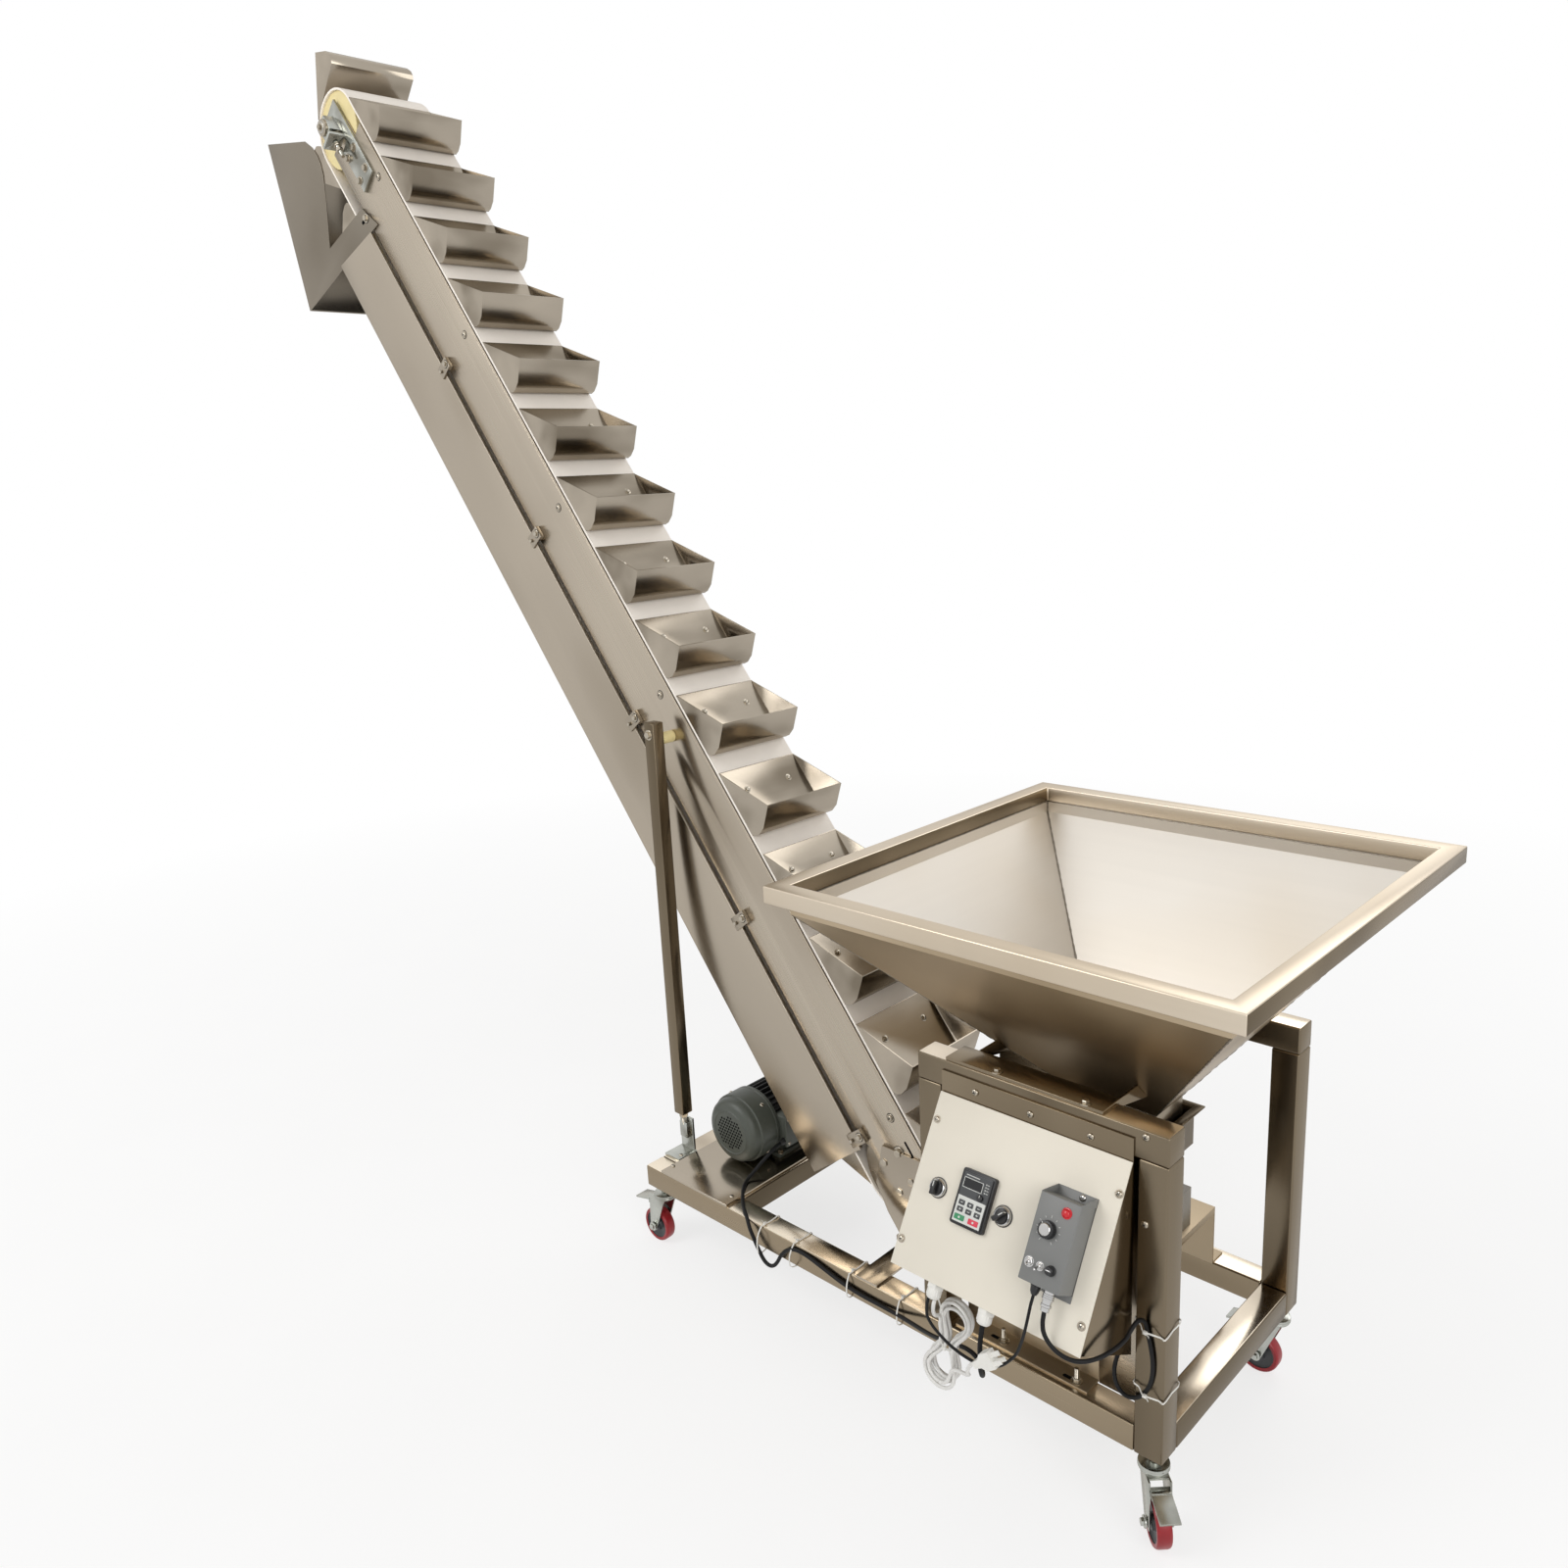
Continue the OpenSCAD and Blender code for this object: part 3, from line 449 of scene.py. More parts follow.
TAIL_ROUTE = [(-325.2, -130.4, 65), (-318.2, -131.4, 75.9), (-313.2, -133.4, 88), (-308.2, -136.2, 99),
    (-302, -138.4, 105.6), (-294, -139.5, 110), (-284, -140.5, 112.5), (-273, -143, 116), (-264.5, -148, 123),
    (-258.5, -157, 133), (-253, -166, 146), (-246.5, -173, 160), (-238.4, -176, 173.4), (-229.4, -176, 180.4)]
HANK_LOW, HANK_HIGH = Vector((-339, 0, 80)), Vector((-305, 0, 197))
HANK_MID = (HANK_HIGH + HANK_LOW) / 2
HANK_ALONG = (HANK_HIGH - HANK_LOW).normalized()
HANK_SIDE = Vector((HANK_ALONG.z, 0, -HANK_ALONG.x))
# The lanes that the folded lead lies in: radius of its end bends, how much shorter it is at the top and at
# the bottom, how near it is to the tie's middle, and its y.
LANES = [(30.5, 0, 0, 13, -130), (28, 9, 8, 12, -123), (29.5, 3, 14, 13, -116), (24, 3.5, 15, 5, -116),
    (22.5, 10, 9, 4.5, -123), (22.5, 8, 2, 5, -130)]
TURNS, PER_TURN = 4.4, 36


def catmull(points, steps=4, closed=False):
    """A smooth line through the points, or a smooth loop through them."""
    p = [Vector(q) for q in points]
    n, out = len(p), []
    for i in range(n if closed else n - 1):
        if closed:
            a, b, c, d = (p[(i + k) % n] for k in (-1, 0, 1, 2))
        else:
            a, b, c, d = (p[min(max(i + k, 0), n - 1)] for k in (-1, 0, 1, 2))
        for k in range(steps):
            t = k / steps
            out.append((2 * b + (c - a) * t + (2 * a - 5 * b + 4 * c - d) * t * t
                        + (3 * b - a - 3 * c + d) * t ** 3) / 2)
    return out if closed else out + [p[-1]]


def cord_curve(name, points, diameter, jacket, replaces, slot, **facts):
    """A cord as one open curve through the route's points."""
    line = catmull(points)
    curve = bpy.data.curves.new(name, "CURVE")
    curve.dimensions = "3D"
    curve.bevel_depth = diameter / 2000
    curve.bevel_resolution = 4
    curve.use_fill_caps = True
    spline = curve.splines.new("POLY")
    spline.points.add(len(line) - 1)
    for s, p in zip(spline.points, line):
        s.co = (*at(*p), 1)
    spline.use_smooth = True
    curve.materials.append(finish(jacket))
    obj = bpy.data.objects.new(name, curve)
    bpy.context.scene.collection.objects.link(obj)
    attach(obj, "machine")
    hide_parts(*replaces)


def lane_point(lane, phase):
    """Where the fold is at a phase of its turn: down the left side, round the bottom, up the right side, over
    the top. A lane between two whole numbers lies between two of LANES."""
    k = min(int(lane), len(LANES) - 2)
    r, top, low, waist, y = (p + (q - p) * (lane - k) for p, q in zip(LANES[k], LANES[k + 1]))
    half = (HANK_HIGH - HANK_LOW).length / 2
    s_top, s_low = half - top, low - half
    f = (phase + 0.075) % 1.0
    if f < 0.3 or 0.5 <= f < 0.8:
        t = f / 0.3 if f < 0.3 else (0.8 - f) / 0.3
        x = waist + (r - waist) * (0.5 + 0.5 * cos(2 * pi * t))
        s = s_top + (s_low - s_top) * t
        x = -x if f < 0.3 else x
    else:
        bottom = f < 0.5
        a = pi * (f - 0.3) / 0.2 if bottom else pi * (f - 0.8) / 0.2
        x = r * cos(a) * (-1 if bottom else 1)
        s = s_low - r * sin(a) if bottom else s_top + r * sin(a)
    return HANK_MID + HANK_SIDE * x + HANK_ALONG * s + Vector((0, y, 0))


def hank_turns():
    """The folded lead's middle line. Each turn moves to the next lane after the lane ahead of it is free."""
    out = []
    for i in range(int(TURNS * PER_TURN)):
        k, phase = divmod(i / PER_TURN, 1.0)
        t = max(0.0, min(1.0, (phase - (0.8 - 0.2 * k)) / 0.2))
        out.append(lane_point(k + t * t * (3 - 2 * t), phase))
    return out


# What a user can change


def power_prop(name, text, default):
    return bpy.props.FloatProperty(name=name, description=text, default=default, unit="POWER")


def length_prop(name, text, default):
    return bpy.props.FloatProperty(name=name, description=text, default=default, unit="LENGTH")


def angle_prop(name, text, degrees):
    return bpy.props.FloatProperty(name=name, description=text, default=radians(degrees), subtype="ANGLE")


def colour_prop(name, text, *default):
    return bpy.props.FloatVectorProperty(name=name, description=text, default=srgb(*default), subtype="COLOR")


class ElevatorSizes(bpy.types.PropertyGroup):
    """Sizes of the dressing."""

    tube_corner: length_prop("Tube corner", "Radius on the corners of the square tubes", 0.0035)
    sheet_edge: length_prop("Sheet edge", "Radius on the cut edges of thin sheet parts", 0.0006)
    bolt_across: length_prop("Bolt head", "Width of the common hexagon heads across their flats", 0.013)
    motor_cable: length_prop("Motor cable", "Diameter of the motor's cable", 0.008)
    link_cord: length_prop("Link cord", "Diameter of the cord from the cabinet to the control box", 0.005)
    feeder_cord: length_prop("Feeder cord", "Diameter of the cord to the vibrating feeder", 0.007)
    mains_lead: length_prop("Mains lead", "Diameter of the white mains lead", 0.0065)


class ElevatorColours(bpy.types.PropertyGroup):
    """Colours of the finishes, as linear values."""

    steel: colour_prop("Stainless", "Satin stainless of sheets and buckets", 176, 166, 151)
    # A darker, browner copy of the stainless: painted shade and reflection for tubes and faces that look down,
    # carried by every finish built on it.
    shaded_steel: colour_prop("Dark stainless", "Browner stainless of tubes and faces that look down", 124, 112, 94)
    panel: colour_prop("Panel", "Paint of the control panel", 232, 226, 212)
    controller: colour_prop("Control box", "Paint of the feeder's control box", 120, 121, 120)
    motor: colour_prop("Motor", "Paint of the motor and gearbox", 98, 103, 94)
    belt: colour_prop("Belt", "Cover of the bucket belt", 236, 229, 220)
    wheel: colour_prop("Wheel", "Tyre of the caster wheels", 150, 22, 32)


class ElevatorLight(bpy.types.PropertyGroup):
    """Camera and light."""

    lens: bpy.props.FloatProperty(name="Lens", description="Focal length", default=28.278, unit="CAMERA")
    camera_turn: angle_prop("Camera turn", "Heading of the camera from the near side", 44.913)
    camera_fall: angle_prop("Camera fall", "How far the camera looks down", 13.804)
    camera_roll: angle_prop("Camera roll", "Lean of the camera", -3.044)
    key: power_prop("Key light", "Power of the large soft lamp", 110)
    fill: power_prop("Fill light", "Power of the fill lamp", 60)
    sky: bpy.props.FloatProperty(name="Sky", description="Strength of the light from all round", default=0.5)


def mm(name):
    """One of the sizes, in millimetres."""
    return getattr(bpy.context.scene.elevator_sizes, name) * 1000


CAMERA = (769.78, -1538.12, 1550.01)
LAMPS = (("Key lamp", "key", 1.0, 3.2, (-1.6, -4.2, 4.6), (0, 0, 1.0)),
         ("Fill lamp", "fill", 1.0, 3.0, (4.2, -1.8, 2.6), (0.2, 0, 0.9)),
         ("Back lamp", "fill", 0.7, 3.0, (0.6, 4.2, 4.2), (0, 0, 1.2)))


def light_path(tree):
    """One where the background is seen by the camera or in metal or glass."""
    path = tree.nodes.new("ShaderNodeLightPath")
    out = path.outputs["Is Camera Ray"]
    for name in ("Is Glossy Ray", "Is Transmission Ray"):
        m = tree.nodes.new("ShaderNodeMath")
        m.operation = "MAXIMUM"
        tree.links.new(out, m.inputs[0])
        tree.links.new(path.outputs[name], m.inputs[1])
        out = m.outputs[0]
    return out


class ELEVATOR_OT_stage(bpy.types.Operator):
    """Makes the camera, the floor, the lamps and the pale background."""

    bl_idname = "elevator.stage"
    bl_label = "Stage and camera"

    def execute(self, context):
        scene, s = context.scene, context.scene.elevator_light
        scene.view_settings.view_transform = "Standard"
        cam = bpy.data.cameras.new("Camera")
        cam.lens, cam.sensor_width, cam.sensor_fit = s.lens, 36, "AUTO"
        cam.clip_start, cam.clip_end = 0.05, 200
        obj = bpy.data.objects.new("Camera", cam)
        scene.collection.objects.link(obj)
        aim = Matrix.Rotation(s.camera_turn, 4, "Z") @ Matrix.Rotation(pi / 2 - s.camera_fall, 4, "X")
        obj.matrix_world = Matrix.Translation(at(*CAMERA)) @ spun(aim, s.camera_roll)
        scene.camera = obj
        world = bpy.data.worlds.new("Pale studio")
        scene.world = world
        world.use_nodes = True
        t = world.node_tree
        even = t.nodes["Background"]
        even.inputs["Color"].default_value = (1, 0.985, 0.96, 1)
        even.inputs["Strength"].default_value = s.sky
        seen = t.nodes.new("ShaderNodeBackground")
        seen.inputs["Color"].default_value = (1, 1, 1, 1)
        seen.inputs["Strength"].default_value = 1.0
        mix = t.nodes.new("ShaderNodeMixShader")
        t.links.new(light_path(t), mix.inputs[0])
        t.links.new(even.outputs[0], mix.inputs[1])
        t.links.new(seen.outputs[0], mix.inputs[2])
        t.links.new(mix.outputs[0], t.nodes["World Output"].inputs[0])
        self.floor()
        for name, power, share, size, place, aim in LAMPS:
            lamp = bpy.data.lights.new(name, "AREA")
            lamp.energy, lamp.size, lamp.shape = getattr(s, power) * share, size, "DISK"
            o = bpy.data.objects.new(name, lamp)
            o.location = place
            o.rotation_mode = "QUATERNION"
            o.rotation_quaternion = (Vector(aim) - Vector(place)).to_track_quat("-Z", "Y")
            scene.collection.objects.link(o)
        return {"FINISHED"}

    def floor(self):
        """A wide pale floor that keeps the shadow near the machine and fades to the background."""
        bm = bmesh.new()
        bmesh.ops.create_grid(bm, x_segments=2, y_segments=2, size=60)
        mesh = bpy.data.meshes.new("Floor")
        bm.to_mesh(mesh)
        bm.free()
        floor = bpy.data.objects.new("Floor", mesh)
        bpy.context.scene.collection.objects.link(floor)
        f = Finish("Pale floor")
        tone = f.ramp(f.noise((3, 3, 3)), (0.3, (0.93, 0.93, 0.93)), (0.7, (0.96, 0.96, 0.96)))
        f.set(Base_Color=tone, Roughness=0.8)
        t = f.tree
        glow = f.node("ShaderNodeEmission", Color=(1, 1, 1, 1), Strength=1.0)
        gone = f.node("ShaderNodeVectorMath")
        gone.operation = "LENGTH"
        t.links.new(f.place, gone.inputs[0])
        share = f.math("MULTIPLY", f.range(gone.outputs["Value"], 0.72, 1.0, 1.2, 4.5), light_path(t))
        mix = f.node("ShaderNodeMixShader")
        t.links.new(share, mix.inputs[0])
        t.links.new(f.shader.outputs[0], mix.inputs[1])
        t.links.new(glow.outputs[0], mix.inputs[2])
        t.links.new(mix.outputs[0], t.nodes["Material Output"].inputs[0])
        mesh.materials.append(f.mat)


class ELEVATOR_OT_cords(bpy.types.Operator):
    """Makes the motor cable, the two control cords and the folded mains lead with its plug."""

    bl_idname = "elevator.cords"
    bl_label = "Cords and plug"

    def execute(self, context):
        for name, route, stiffness, lay in (
                ("motor_cable", MOTOR_ROUTE, "medium", "loose"), ("link_cord", LINK_ROUTE, "limp", "hanging"),
                ("feeder_cord", FEEDER_ROUTE, "medium", "loose")):
            cord_curve(name + "_jacket", route, mm(name), "black_jacket", (name,), "black_cable",
                       far_end="object", stiffness=stiffness, lay=lay)
        dress("mains_plug", "white")
        cord_curve("mains_lead_jacket", LEAD_ROUTE + hank_turns() + TAIL_ROUTE, mm("mains_lead"),
                   "white_jacket", ("mains_lead", "cable_hank"), "white_cable", far_end="plug",
                   stiffness="medium", lay="coiled", with_pieces=[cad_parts["mains_plug"]])
        return {"FINISHED"}


# Fasteners


def head_axes(p, out, turn):
    """A fastener's frame at p: Z faces out, turned about it."""
    return spun(axes(p, out, Z if abs(out.z) < 0.9 else X), turn)


def hex_bolt(bm, p, out, across=None, mat=0, turn=0.3, washer=True, dark=None):
    """A hexagon head on a washer, at p and facing out, with a thin dark ring round it, a painted contact
    shadow, where dark names its finish.
    """
    across = across or mm("bolt_across")
    m = head_axes(p, out, turn)
    r, h = across / sqrt(3), across * 0.42
    w = across * 0.86
    # A thin dark ring under the washer: painted contact shadow.
    if dark is not None:
        lathe(bm, [(0, 0), (w + 1.3, 0), (w + 1.1, 0.25), (0, 0.3)], m, 28, dark)
    if washer:
        lathe(bm, [(0, -0.5), (w, -0.5), (w, 1.1), (w - 0.5, 1.5), (0, 1.5)], m, 28, mat)
    head = [(0, 1.4), (r, 1.4), (r, h + 0.9), (r * 0.9, h + 1.6), (r * 0.62, h + 1.8), (0, h + 1.6)]
    lathe(bm, head, m, 6, mat)


def thread(bm, m, r, z0, z1):
    """A threaded rod as a stack of fine rings."""
    prof, z, step = [(0, z0)], z0, 1.5
    while z < z1 - step:
        prof += [(r * 0.86, z), (r, z + step * 0.5)]
        z += step
    lathe(bm, prof + [(r * 0.86, z1 - 0.5), (0, z1)], m, 16)


def pan_screw(bm, p, out, r=5.5, mat=0, dark=1, turn=0.4):
    """A domed screw head with a cross recess, drawn as a thin dark cross on the dome: painted shade."""
    m = head_axes(p, out, turn)
    dome = [(r * 1.02, -0.4), (r, r * 0.2), (r * 0.86, r * 0.42), (r * 0.55, r * 0.56)]
    lathe(bm, [(0, -0.4), *dome, (0, r * 0.62)], m, 20, mat)
    # The cross recess is dark blocks over the dome: painted shade in the recess.
    for a in (0, pi / 2):
        block(bm, (-r * 0.52, -r * 0.11, r * 0.45), (r * 0.52, r * 0.11, r * 0.63), spun(m, a), dark)


def stud(bm, p, r, height):
    """An upright threaded stud with a washer and a nut."""
    m = axes(p, Z, X)
    lathe(bm, [(0, 0), (r * 2.4, 0), (r * 2.4, 1.4), (r * 2.1, 1.8), (0, 1.8)], m, 28)
    lathe(bm, [(0, 1.7), (r * 1.85, 1.9), (r * 1.85, 7.2), (r * 1.6, 8.2), (0, 8.2)], spun(m, 0.4), 6)
    thread(bm, m, r, 8, height)


def slot_mark(bm, length, r, m, top=0.3):
    """The dark of a slot along m's X, just over the sheet."""
    out = []
    for s in (1, -1):
        for k in range(9):
            a = -pi / 2 + pi * k / 8
            out.append((s * (length / 2 + r * cos(a)), s * r * sin(a)))
    prism(bm, out, 0.05, top, m, 1)


def strap(bm, points, width, thick, across, closed=True):
    """A flat band along the points in millimetres, its width along across."""
    p = [Vector(q) for q in points]
    n = len(p)
    rings = []
    for i in range(n):
        a = p[(i - 1) % n] if closed or i else p[i]
        b = p[(i + 1) % n] if closed or i < n - 1 else p[i]
        t = (b - a).normalized()
        w = (across - t * across.dot(t)).normalized()
        o = t.cross(w)
        rings.append([bm.verts.new(at(*(p[i] + w * (width / 2 * u) + o * (thick / 2 * v))))
                      for u, v in ((-1, -1), (1, -1), (1, 1), (-1, 1))])
    for i in range(n if closed else n - 1):
        a, b = rings[i], rings[(i + 1) % n]
        for k in range(4):
            bm.faces.new((a[k], a[(k + 1) % 4], b[(k + 1) % 4], b[k]))


def near_and_far(y):
    """The near side's y and facing, then the far side's."""
    return ((y, -Y), (2 * MID - y, Y))


def paint(bm, rule):
    """Gives the second finish to the faces that the rule picks."""
    for f in bm.faces:
        f.normal_update()
        f.material_index = int(rule(f))


def skin(name, node, edge, main, steps=2, angle=SHARP, lit_or_shaded_finish=None, facing=Z):
    """A CAD node's solid with rounded edges, which stands for the node. Faces that look along facing take a
    second
    finish, where one is given: a lighter or darker copy that paints light or shade on that side."""
    bm = rounded(node, edge, steps, angle)
    if lit_or_shaded_finish:
        paint(bm, lambda f: f.normal.dot(facing) > 0.8)
    piece(name, bm, main + " " + lit_or_shaded_finish if lit_or_shaded_finish else main, replaces=(node,))


# Pieces


class ELEVATOR_OT_base_frame(bpy.types.Operator):
    """Makes the rails, cross tubes, posts, motor plate and post sheet with round corners and their screws."""

    bl_idname = "elevator.base_frame"
    bl_label = "Base frame"

    def execute(self, context):
        corner = mm("tube_corner")
        # The tubes' faces that look up take a lighter copy of the tube finish, a painted highlight; their other
        # faces take darker copies, painted shade.
        skin("rails_tube", "base_rails", corner, "tube_x", steps=3, lit_or_shaded_finish="tube_top_highlight")
        skin("cross_tubes", "base_cross", corner, "tube_y", steps=3, lit_or_shaded_finish="tube_top_highlight")
        skin("posts_tube", "portal_posts", corner, "tube_z", steps=3)
        skin("top_rails_tube", "portal_rails", corner, "tube_z", steps=3, lit_or_shaded_finish="tube_top_highlight")
        skin("motor_plate_sheet", "motor_plate", 0.8, "plate")
        skin("post_backing_sheet", "post_sheet", 0.5, "sheet")
        bm = bmesh.new()
        front_screws = ((-347, -4, 541), (-239, -4, 538), (-129, -4, 538), (-38, 0, 568), (-37, 0, 421))
        bracket_bolts = ((-313, 11, 0.3), (-313, 514, 0.3), (-146, 9, 0.1), (-146, 526, 0.1))
        for x, y, z in front_screws:
            pan_screw(bm, at(x, y, z), -Y, 6.2, turn=x)
        for x, y, turn in bracket_bolts:
            hex_bolt(bm, at(x, y, 584), Z, 11, turn=turn)
        for x in (-1214, -1020):
            for y in (30, 495):
                pan_screw(bm, at(x, y, 56), Z, 5.0, turn=y)
        piece("frame_screws", bm, "bolt black")
        return {"FINISHED"}


class ELEVATOR_OT_hopper(bpy.types.Operator):
    """Makes the hopper's rim, cone, neck and brackets, with the weld beads in its corners."""

    bl_idname = "elevator.hopper"
    bl_label = "Hopper"

    def execute(self, context):
        # The rim's faces that look along X take a darker copy of its finish: painted shade on them.
        skin("hopper_rim_tube", "hopper_rim", 2.6, "rim", steps=3, lit_or_shaded_finish="rim_side", facing=X)
        bm = solid_of("hopper_cone")
        centre = at(-217, MID, 0)
        # Faces that look inward and not down take the pale inside finish; all others take the browner outside
        # finish, whose darkness is painted reflection of the shaded floor.
        for f in bm.faces:
            c = f.calc_center_median()
            inward = Vector((centre.x - c.x, centre.y - c.y, 0))
            f.material_index = 0 if f.normal.dot(inward) > 0 and f.normal.z > -0.2 else 1
        finishes = "hopper_in hopper_out"
        piece("hopper_sheet", bm, finishes, replaces=("hopper_cone",), crease=20)
        skin("hopper_neck_sheet", "hopper_neck", mm("sheet_edge"), "sheet")
        skin("hopper_bracket_plates", "hopper_brackets", 0.8, "dark_plate")
        bm = bmesh.new()
        top = [(-628, -133), (146, -133), (146, 658), (-628, 658)]
        low = [(-299, 218), (-135, 218), (-135, 307), (-299, 307)]
        for (x0, y0), (x1, y1) in zip(top, low):
            self.bead(bm, (x0, y0, 834), (x1, y1, 476), 2.6, 80)
            self.bead(bm, (x0, y0, 856), (x0, y0, 834), 2.4, 6)
        for corners, z, r, n in ((top, 857, 1.3, 100), (low, 476, 1.4, 24)):
            for a, b in zip(corners, corners[1:] + corners[:1]):
                self.bead(bm, (*a, z), (*b, z), r, n)
        piece("hopper_weld_beads", bm, "weld")
        return {"FINISHED"}

    def bead(self, bm, a, b, r, n):
        """A weld bead: a thin tube of n lengths whose radius ripples."""
        a, b = Vector(a), Vector(b)
        t = (b - a).normalized()
        s = t.cross(Z if abs(t.z) < 0.9 else X).normalized()
        u = t.cross(s)
        rings = []
        for i in range(n + 1):
            c = a.lerp(b, i / n)
            q = r * (0.82 + 0.18 * sin(i * 2.4) + 0.1 * sin(i * 0.7))
            rings.append([bm.verts.new(at(*(c + s * x + u * y))) for x, y in circle(q, 6)])
        for p, q in zip(rings, rings[1:]):
            for k in range(6):
                bm.faces.new((p[k], p[(k + 1) % 6], q[(k + 1) % 6], q[k]))


class ELEVATOR_OT_feeder(bpy.types.Operator):
    """Makes the vibrating feeder: its stand, cast base, leaf springs and tray."""

    bl_idname = "elevator.feeder"
    bl_label = "Vibrating feeder"

    def execute(self, context):
        skin("feeder_stand_sheet", "feeder_stand", 0.8, "stand_sheet")
        skin("feeder_cast_base", "feeder_base", 5.0, "hammered", steps=3, angle=0.9)
        skin("feeder_leaf_springs", "feeder_springs", 1.5, "hammered")
        skin("feeder_tray_sheet", "tray", 0.7, "tray_sheet")
        bm = bmesh.new()
        for x, near in ((-317, 28), (-168, 24)):
            for y, out in near_and_far(near):
                stud(bm, at(x, y, 54), 4.2, 27)
                slot_mark(bm, 20, 3.6, axes(at(x - 13, y, 54), Z, X), 0.25)
        for x, out in ((-380, -X), (-168, X)):
            for y in (MID - 40, MID + 40):
                hex_bolt(bm, at(x, y, 262), out)
        for y, out in near_and_far(MID - 116):
            for x in (-392, -165):
                lathe(bm, [(0, 0), (9, 0), (9, 6), (7, 8), (0, 8)], axes(at(x, y, 172), Z, X), 20, 1)
        piece("feeder_studs", bm, "bolt hole")
        return {"FINISHED"}


class ELEVATOR_OT_slope_frame(bpy.types.Operator):
    """Makes the elevator's side plates, return guard, clips, ties and boot brackets, with their fasteners."""

    bl_idname = "elevator.slope_frame"
    bl_label = "Elevator frame"

    def execute(self, context):
        skin("side_plate_sheets", "side_plates", 0.7, "slope_sheet")
        skin("return_guard_sheet", "return_guard", 0.7, "guard_sheet")
        skin("guard_clip_plates", "guard_clips", 0.7, "sheet")
        self.boot_brackets()
        skin("tie_rods", "frame_ties", 0.6, "turned")
        bm = bmesh.new()
        plate_screws, clips = (218, 722, 1232, 1739, 2242, 2745), (719, 1227, 1735, 2243, 2751)
        boot_bolts = ((2816, -23), (2812, 26), (2880, -23), (2872, 21))
        for y, out in near_and_far(PLATE_Y):
            s = -out.y
            for d in plate_screws:
                m = axes(on_slope(d, y, 53), out, SLOPE_X)
                # A thin dark ring under each washer: painted contact shadow.
                lathe(bm, [(0, 0), (9.9, 0), (9.7, 0.25), (0, 0.3)], m, 28, 1)
                lathe(bm, [(0, -0.4), (8.5, -0.4), (8.5, 0.9), (8.1, 1.3), (0, 1.3)], m, 28)
                pan_screw(bm, on_slope(d, y - 1.2 * s, 53), out, 6.0, turn=d)
            for d in clips:
                hex_bolt(bm, on_slope(d, y - 10 * s, -47), out, 10, turn=d, dark=1)
                hex_bolt(bm, on_slope(d, y - 10 * s, -73), out, 8, turn=d, washer=False)
            for d, n in boot_bolts:
                hex_bolt(bm, on_slope(d, y, n), out, 15, turn=d + n, dark=1)
            slot_mark(bm, 50, 2.6, axes(on_slope(2825, y, 56), out, SLOPE_X))
            fold = self.along(y - (0.5 if s > 0 else 2.5))
            for d1, lo, hi in ((2872, 83.6, 85.5), (2866, 80.0, 80.6)):
                block(bm, (75, 0, lo), (d1, 3, hi), fold, 2, 0.4)
            block(bm, (275, 0, -69.2), (2772, 9, -67.2), self.along(y - 6 if s > 0 else y - 3), 2, 0.5)
        piece("elevator_fasteners", bm, "bolt hole rim")
        return {"FINISHED"}

    def boot_brackets(self):
        """The foot angles of the boot, cut back along the side plates' lower edge."""
        bm = bmesh.new()
        outline = [(60, 50), (60, 249), (-40, 249), (-58, 160), (-30, 105), (8, 55), (8, 50)]
        for y0, y1, side in ((0, PLATE_Y, 1), (2 * MID, 2 * MID - PLATE_Y, -1)):
            plate = axes(at(-647, y1, 0), Y, X)
            prism(bm, [(x, -z) for x, z in outline], -5 * side, -0.1 * side, plate, 0, 0.7)
            foot = (y0 - y1, -5) if side > 0 else (5, y0 - y1)
            block(bm, (8, -55, foot[0]), (60, -50, foot[1]), plate, 0, 0.7)
        piece("boot_bracket_plates", bm, "plate", replaces=("boot_brackets",))

    def along(self, y):
        """Slope frame at y, whose X runs down the slope, Y to the back and Z out."""
        return axes(on_slope(0, y, 0), SLOPE_N, SLOPE_X)


class ELEVATOR_OT_takeups(bpy.types.Operator):
    """Makes the head shaft's take-up plates, bearing blocks, tension rods and bolts, and the shafts."""

    bl_idname = "elevator.takeups"
    bl_label = "Take-ups and shafts"

    def execute(self, context):
        skin("takeup_plates", "takeups", 0.8, "zinc")
        bm = rounded("pulleys", 1.5)
        paint(bm, lambda f: f.calc_center_median().z < 0.8)
        piece("pulley_rollers", bm, "nylon sheet", replaces=("pulleys",))
        bm = rounded("shafts", 1.2)
        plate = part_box("side_plates")[0].y + 0.001
        for v in bm.verts:
            if v.co.z < 0.6:
                v.co.y = max(v.co.y, plate)
        piece("pulley_shafts", bm, "turned", replaces=("shafts",))
        bm = bmesh.new()
        plate_bolts, rod_nuts = ((89, -8), (95, 30), (166, 32), (165, -9)), (30, 53, 70)
        nut = [(5, 0), (9.2, 0), (9.2, 7), (8.2, 8), (5, 8)]
        collar = [(15.2, -3), (20, -3), (20, 5), (17, 8), (15.2, 8)]
        for y, out in near_and_far(144):
            s = -out.y
            rod = y - 18 * s
            for d, n in plate_bolts:
                hex_bolt(bm, on_slope(d, y, n), out, turn=d)
            for d in rod_nuts:
                lathe(bm, nut, spun(axes(on_slope(d, rod, 0), SLOPE_X, Y), d), 6)
            thread(bm, axes(on_slope(60, rod, 0), SLOPE_X, Y), 5.2, 0, 36)
            hex_bolt(bm, on_slope(0, y - 38.5 * s, 0), out, 12)
            lathe(bm, collar, axes(on_slope(0, y - 30 * s, 0), out, Z), 40)
        piece("takeup_bolts", bm, "bolt")
        return {"FINISHED"}


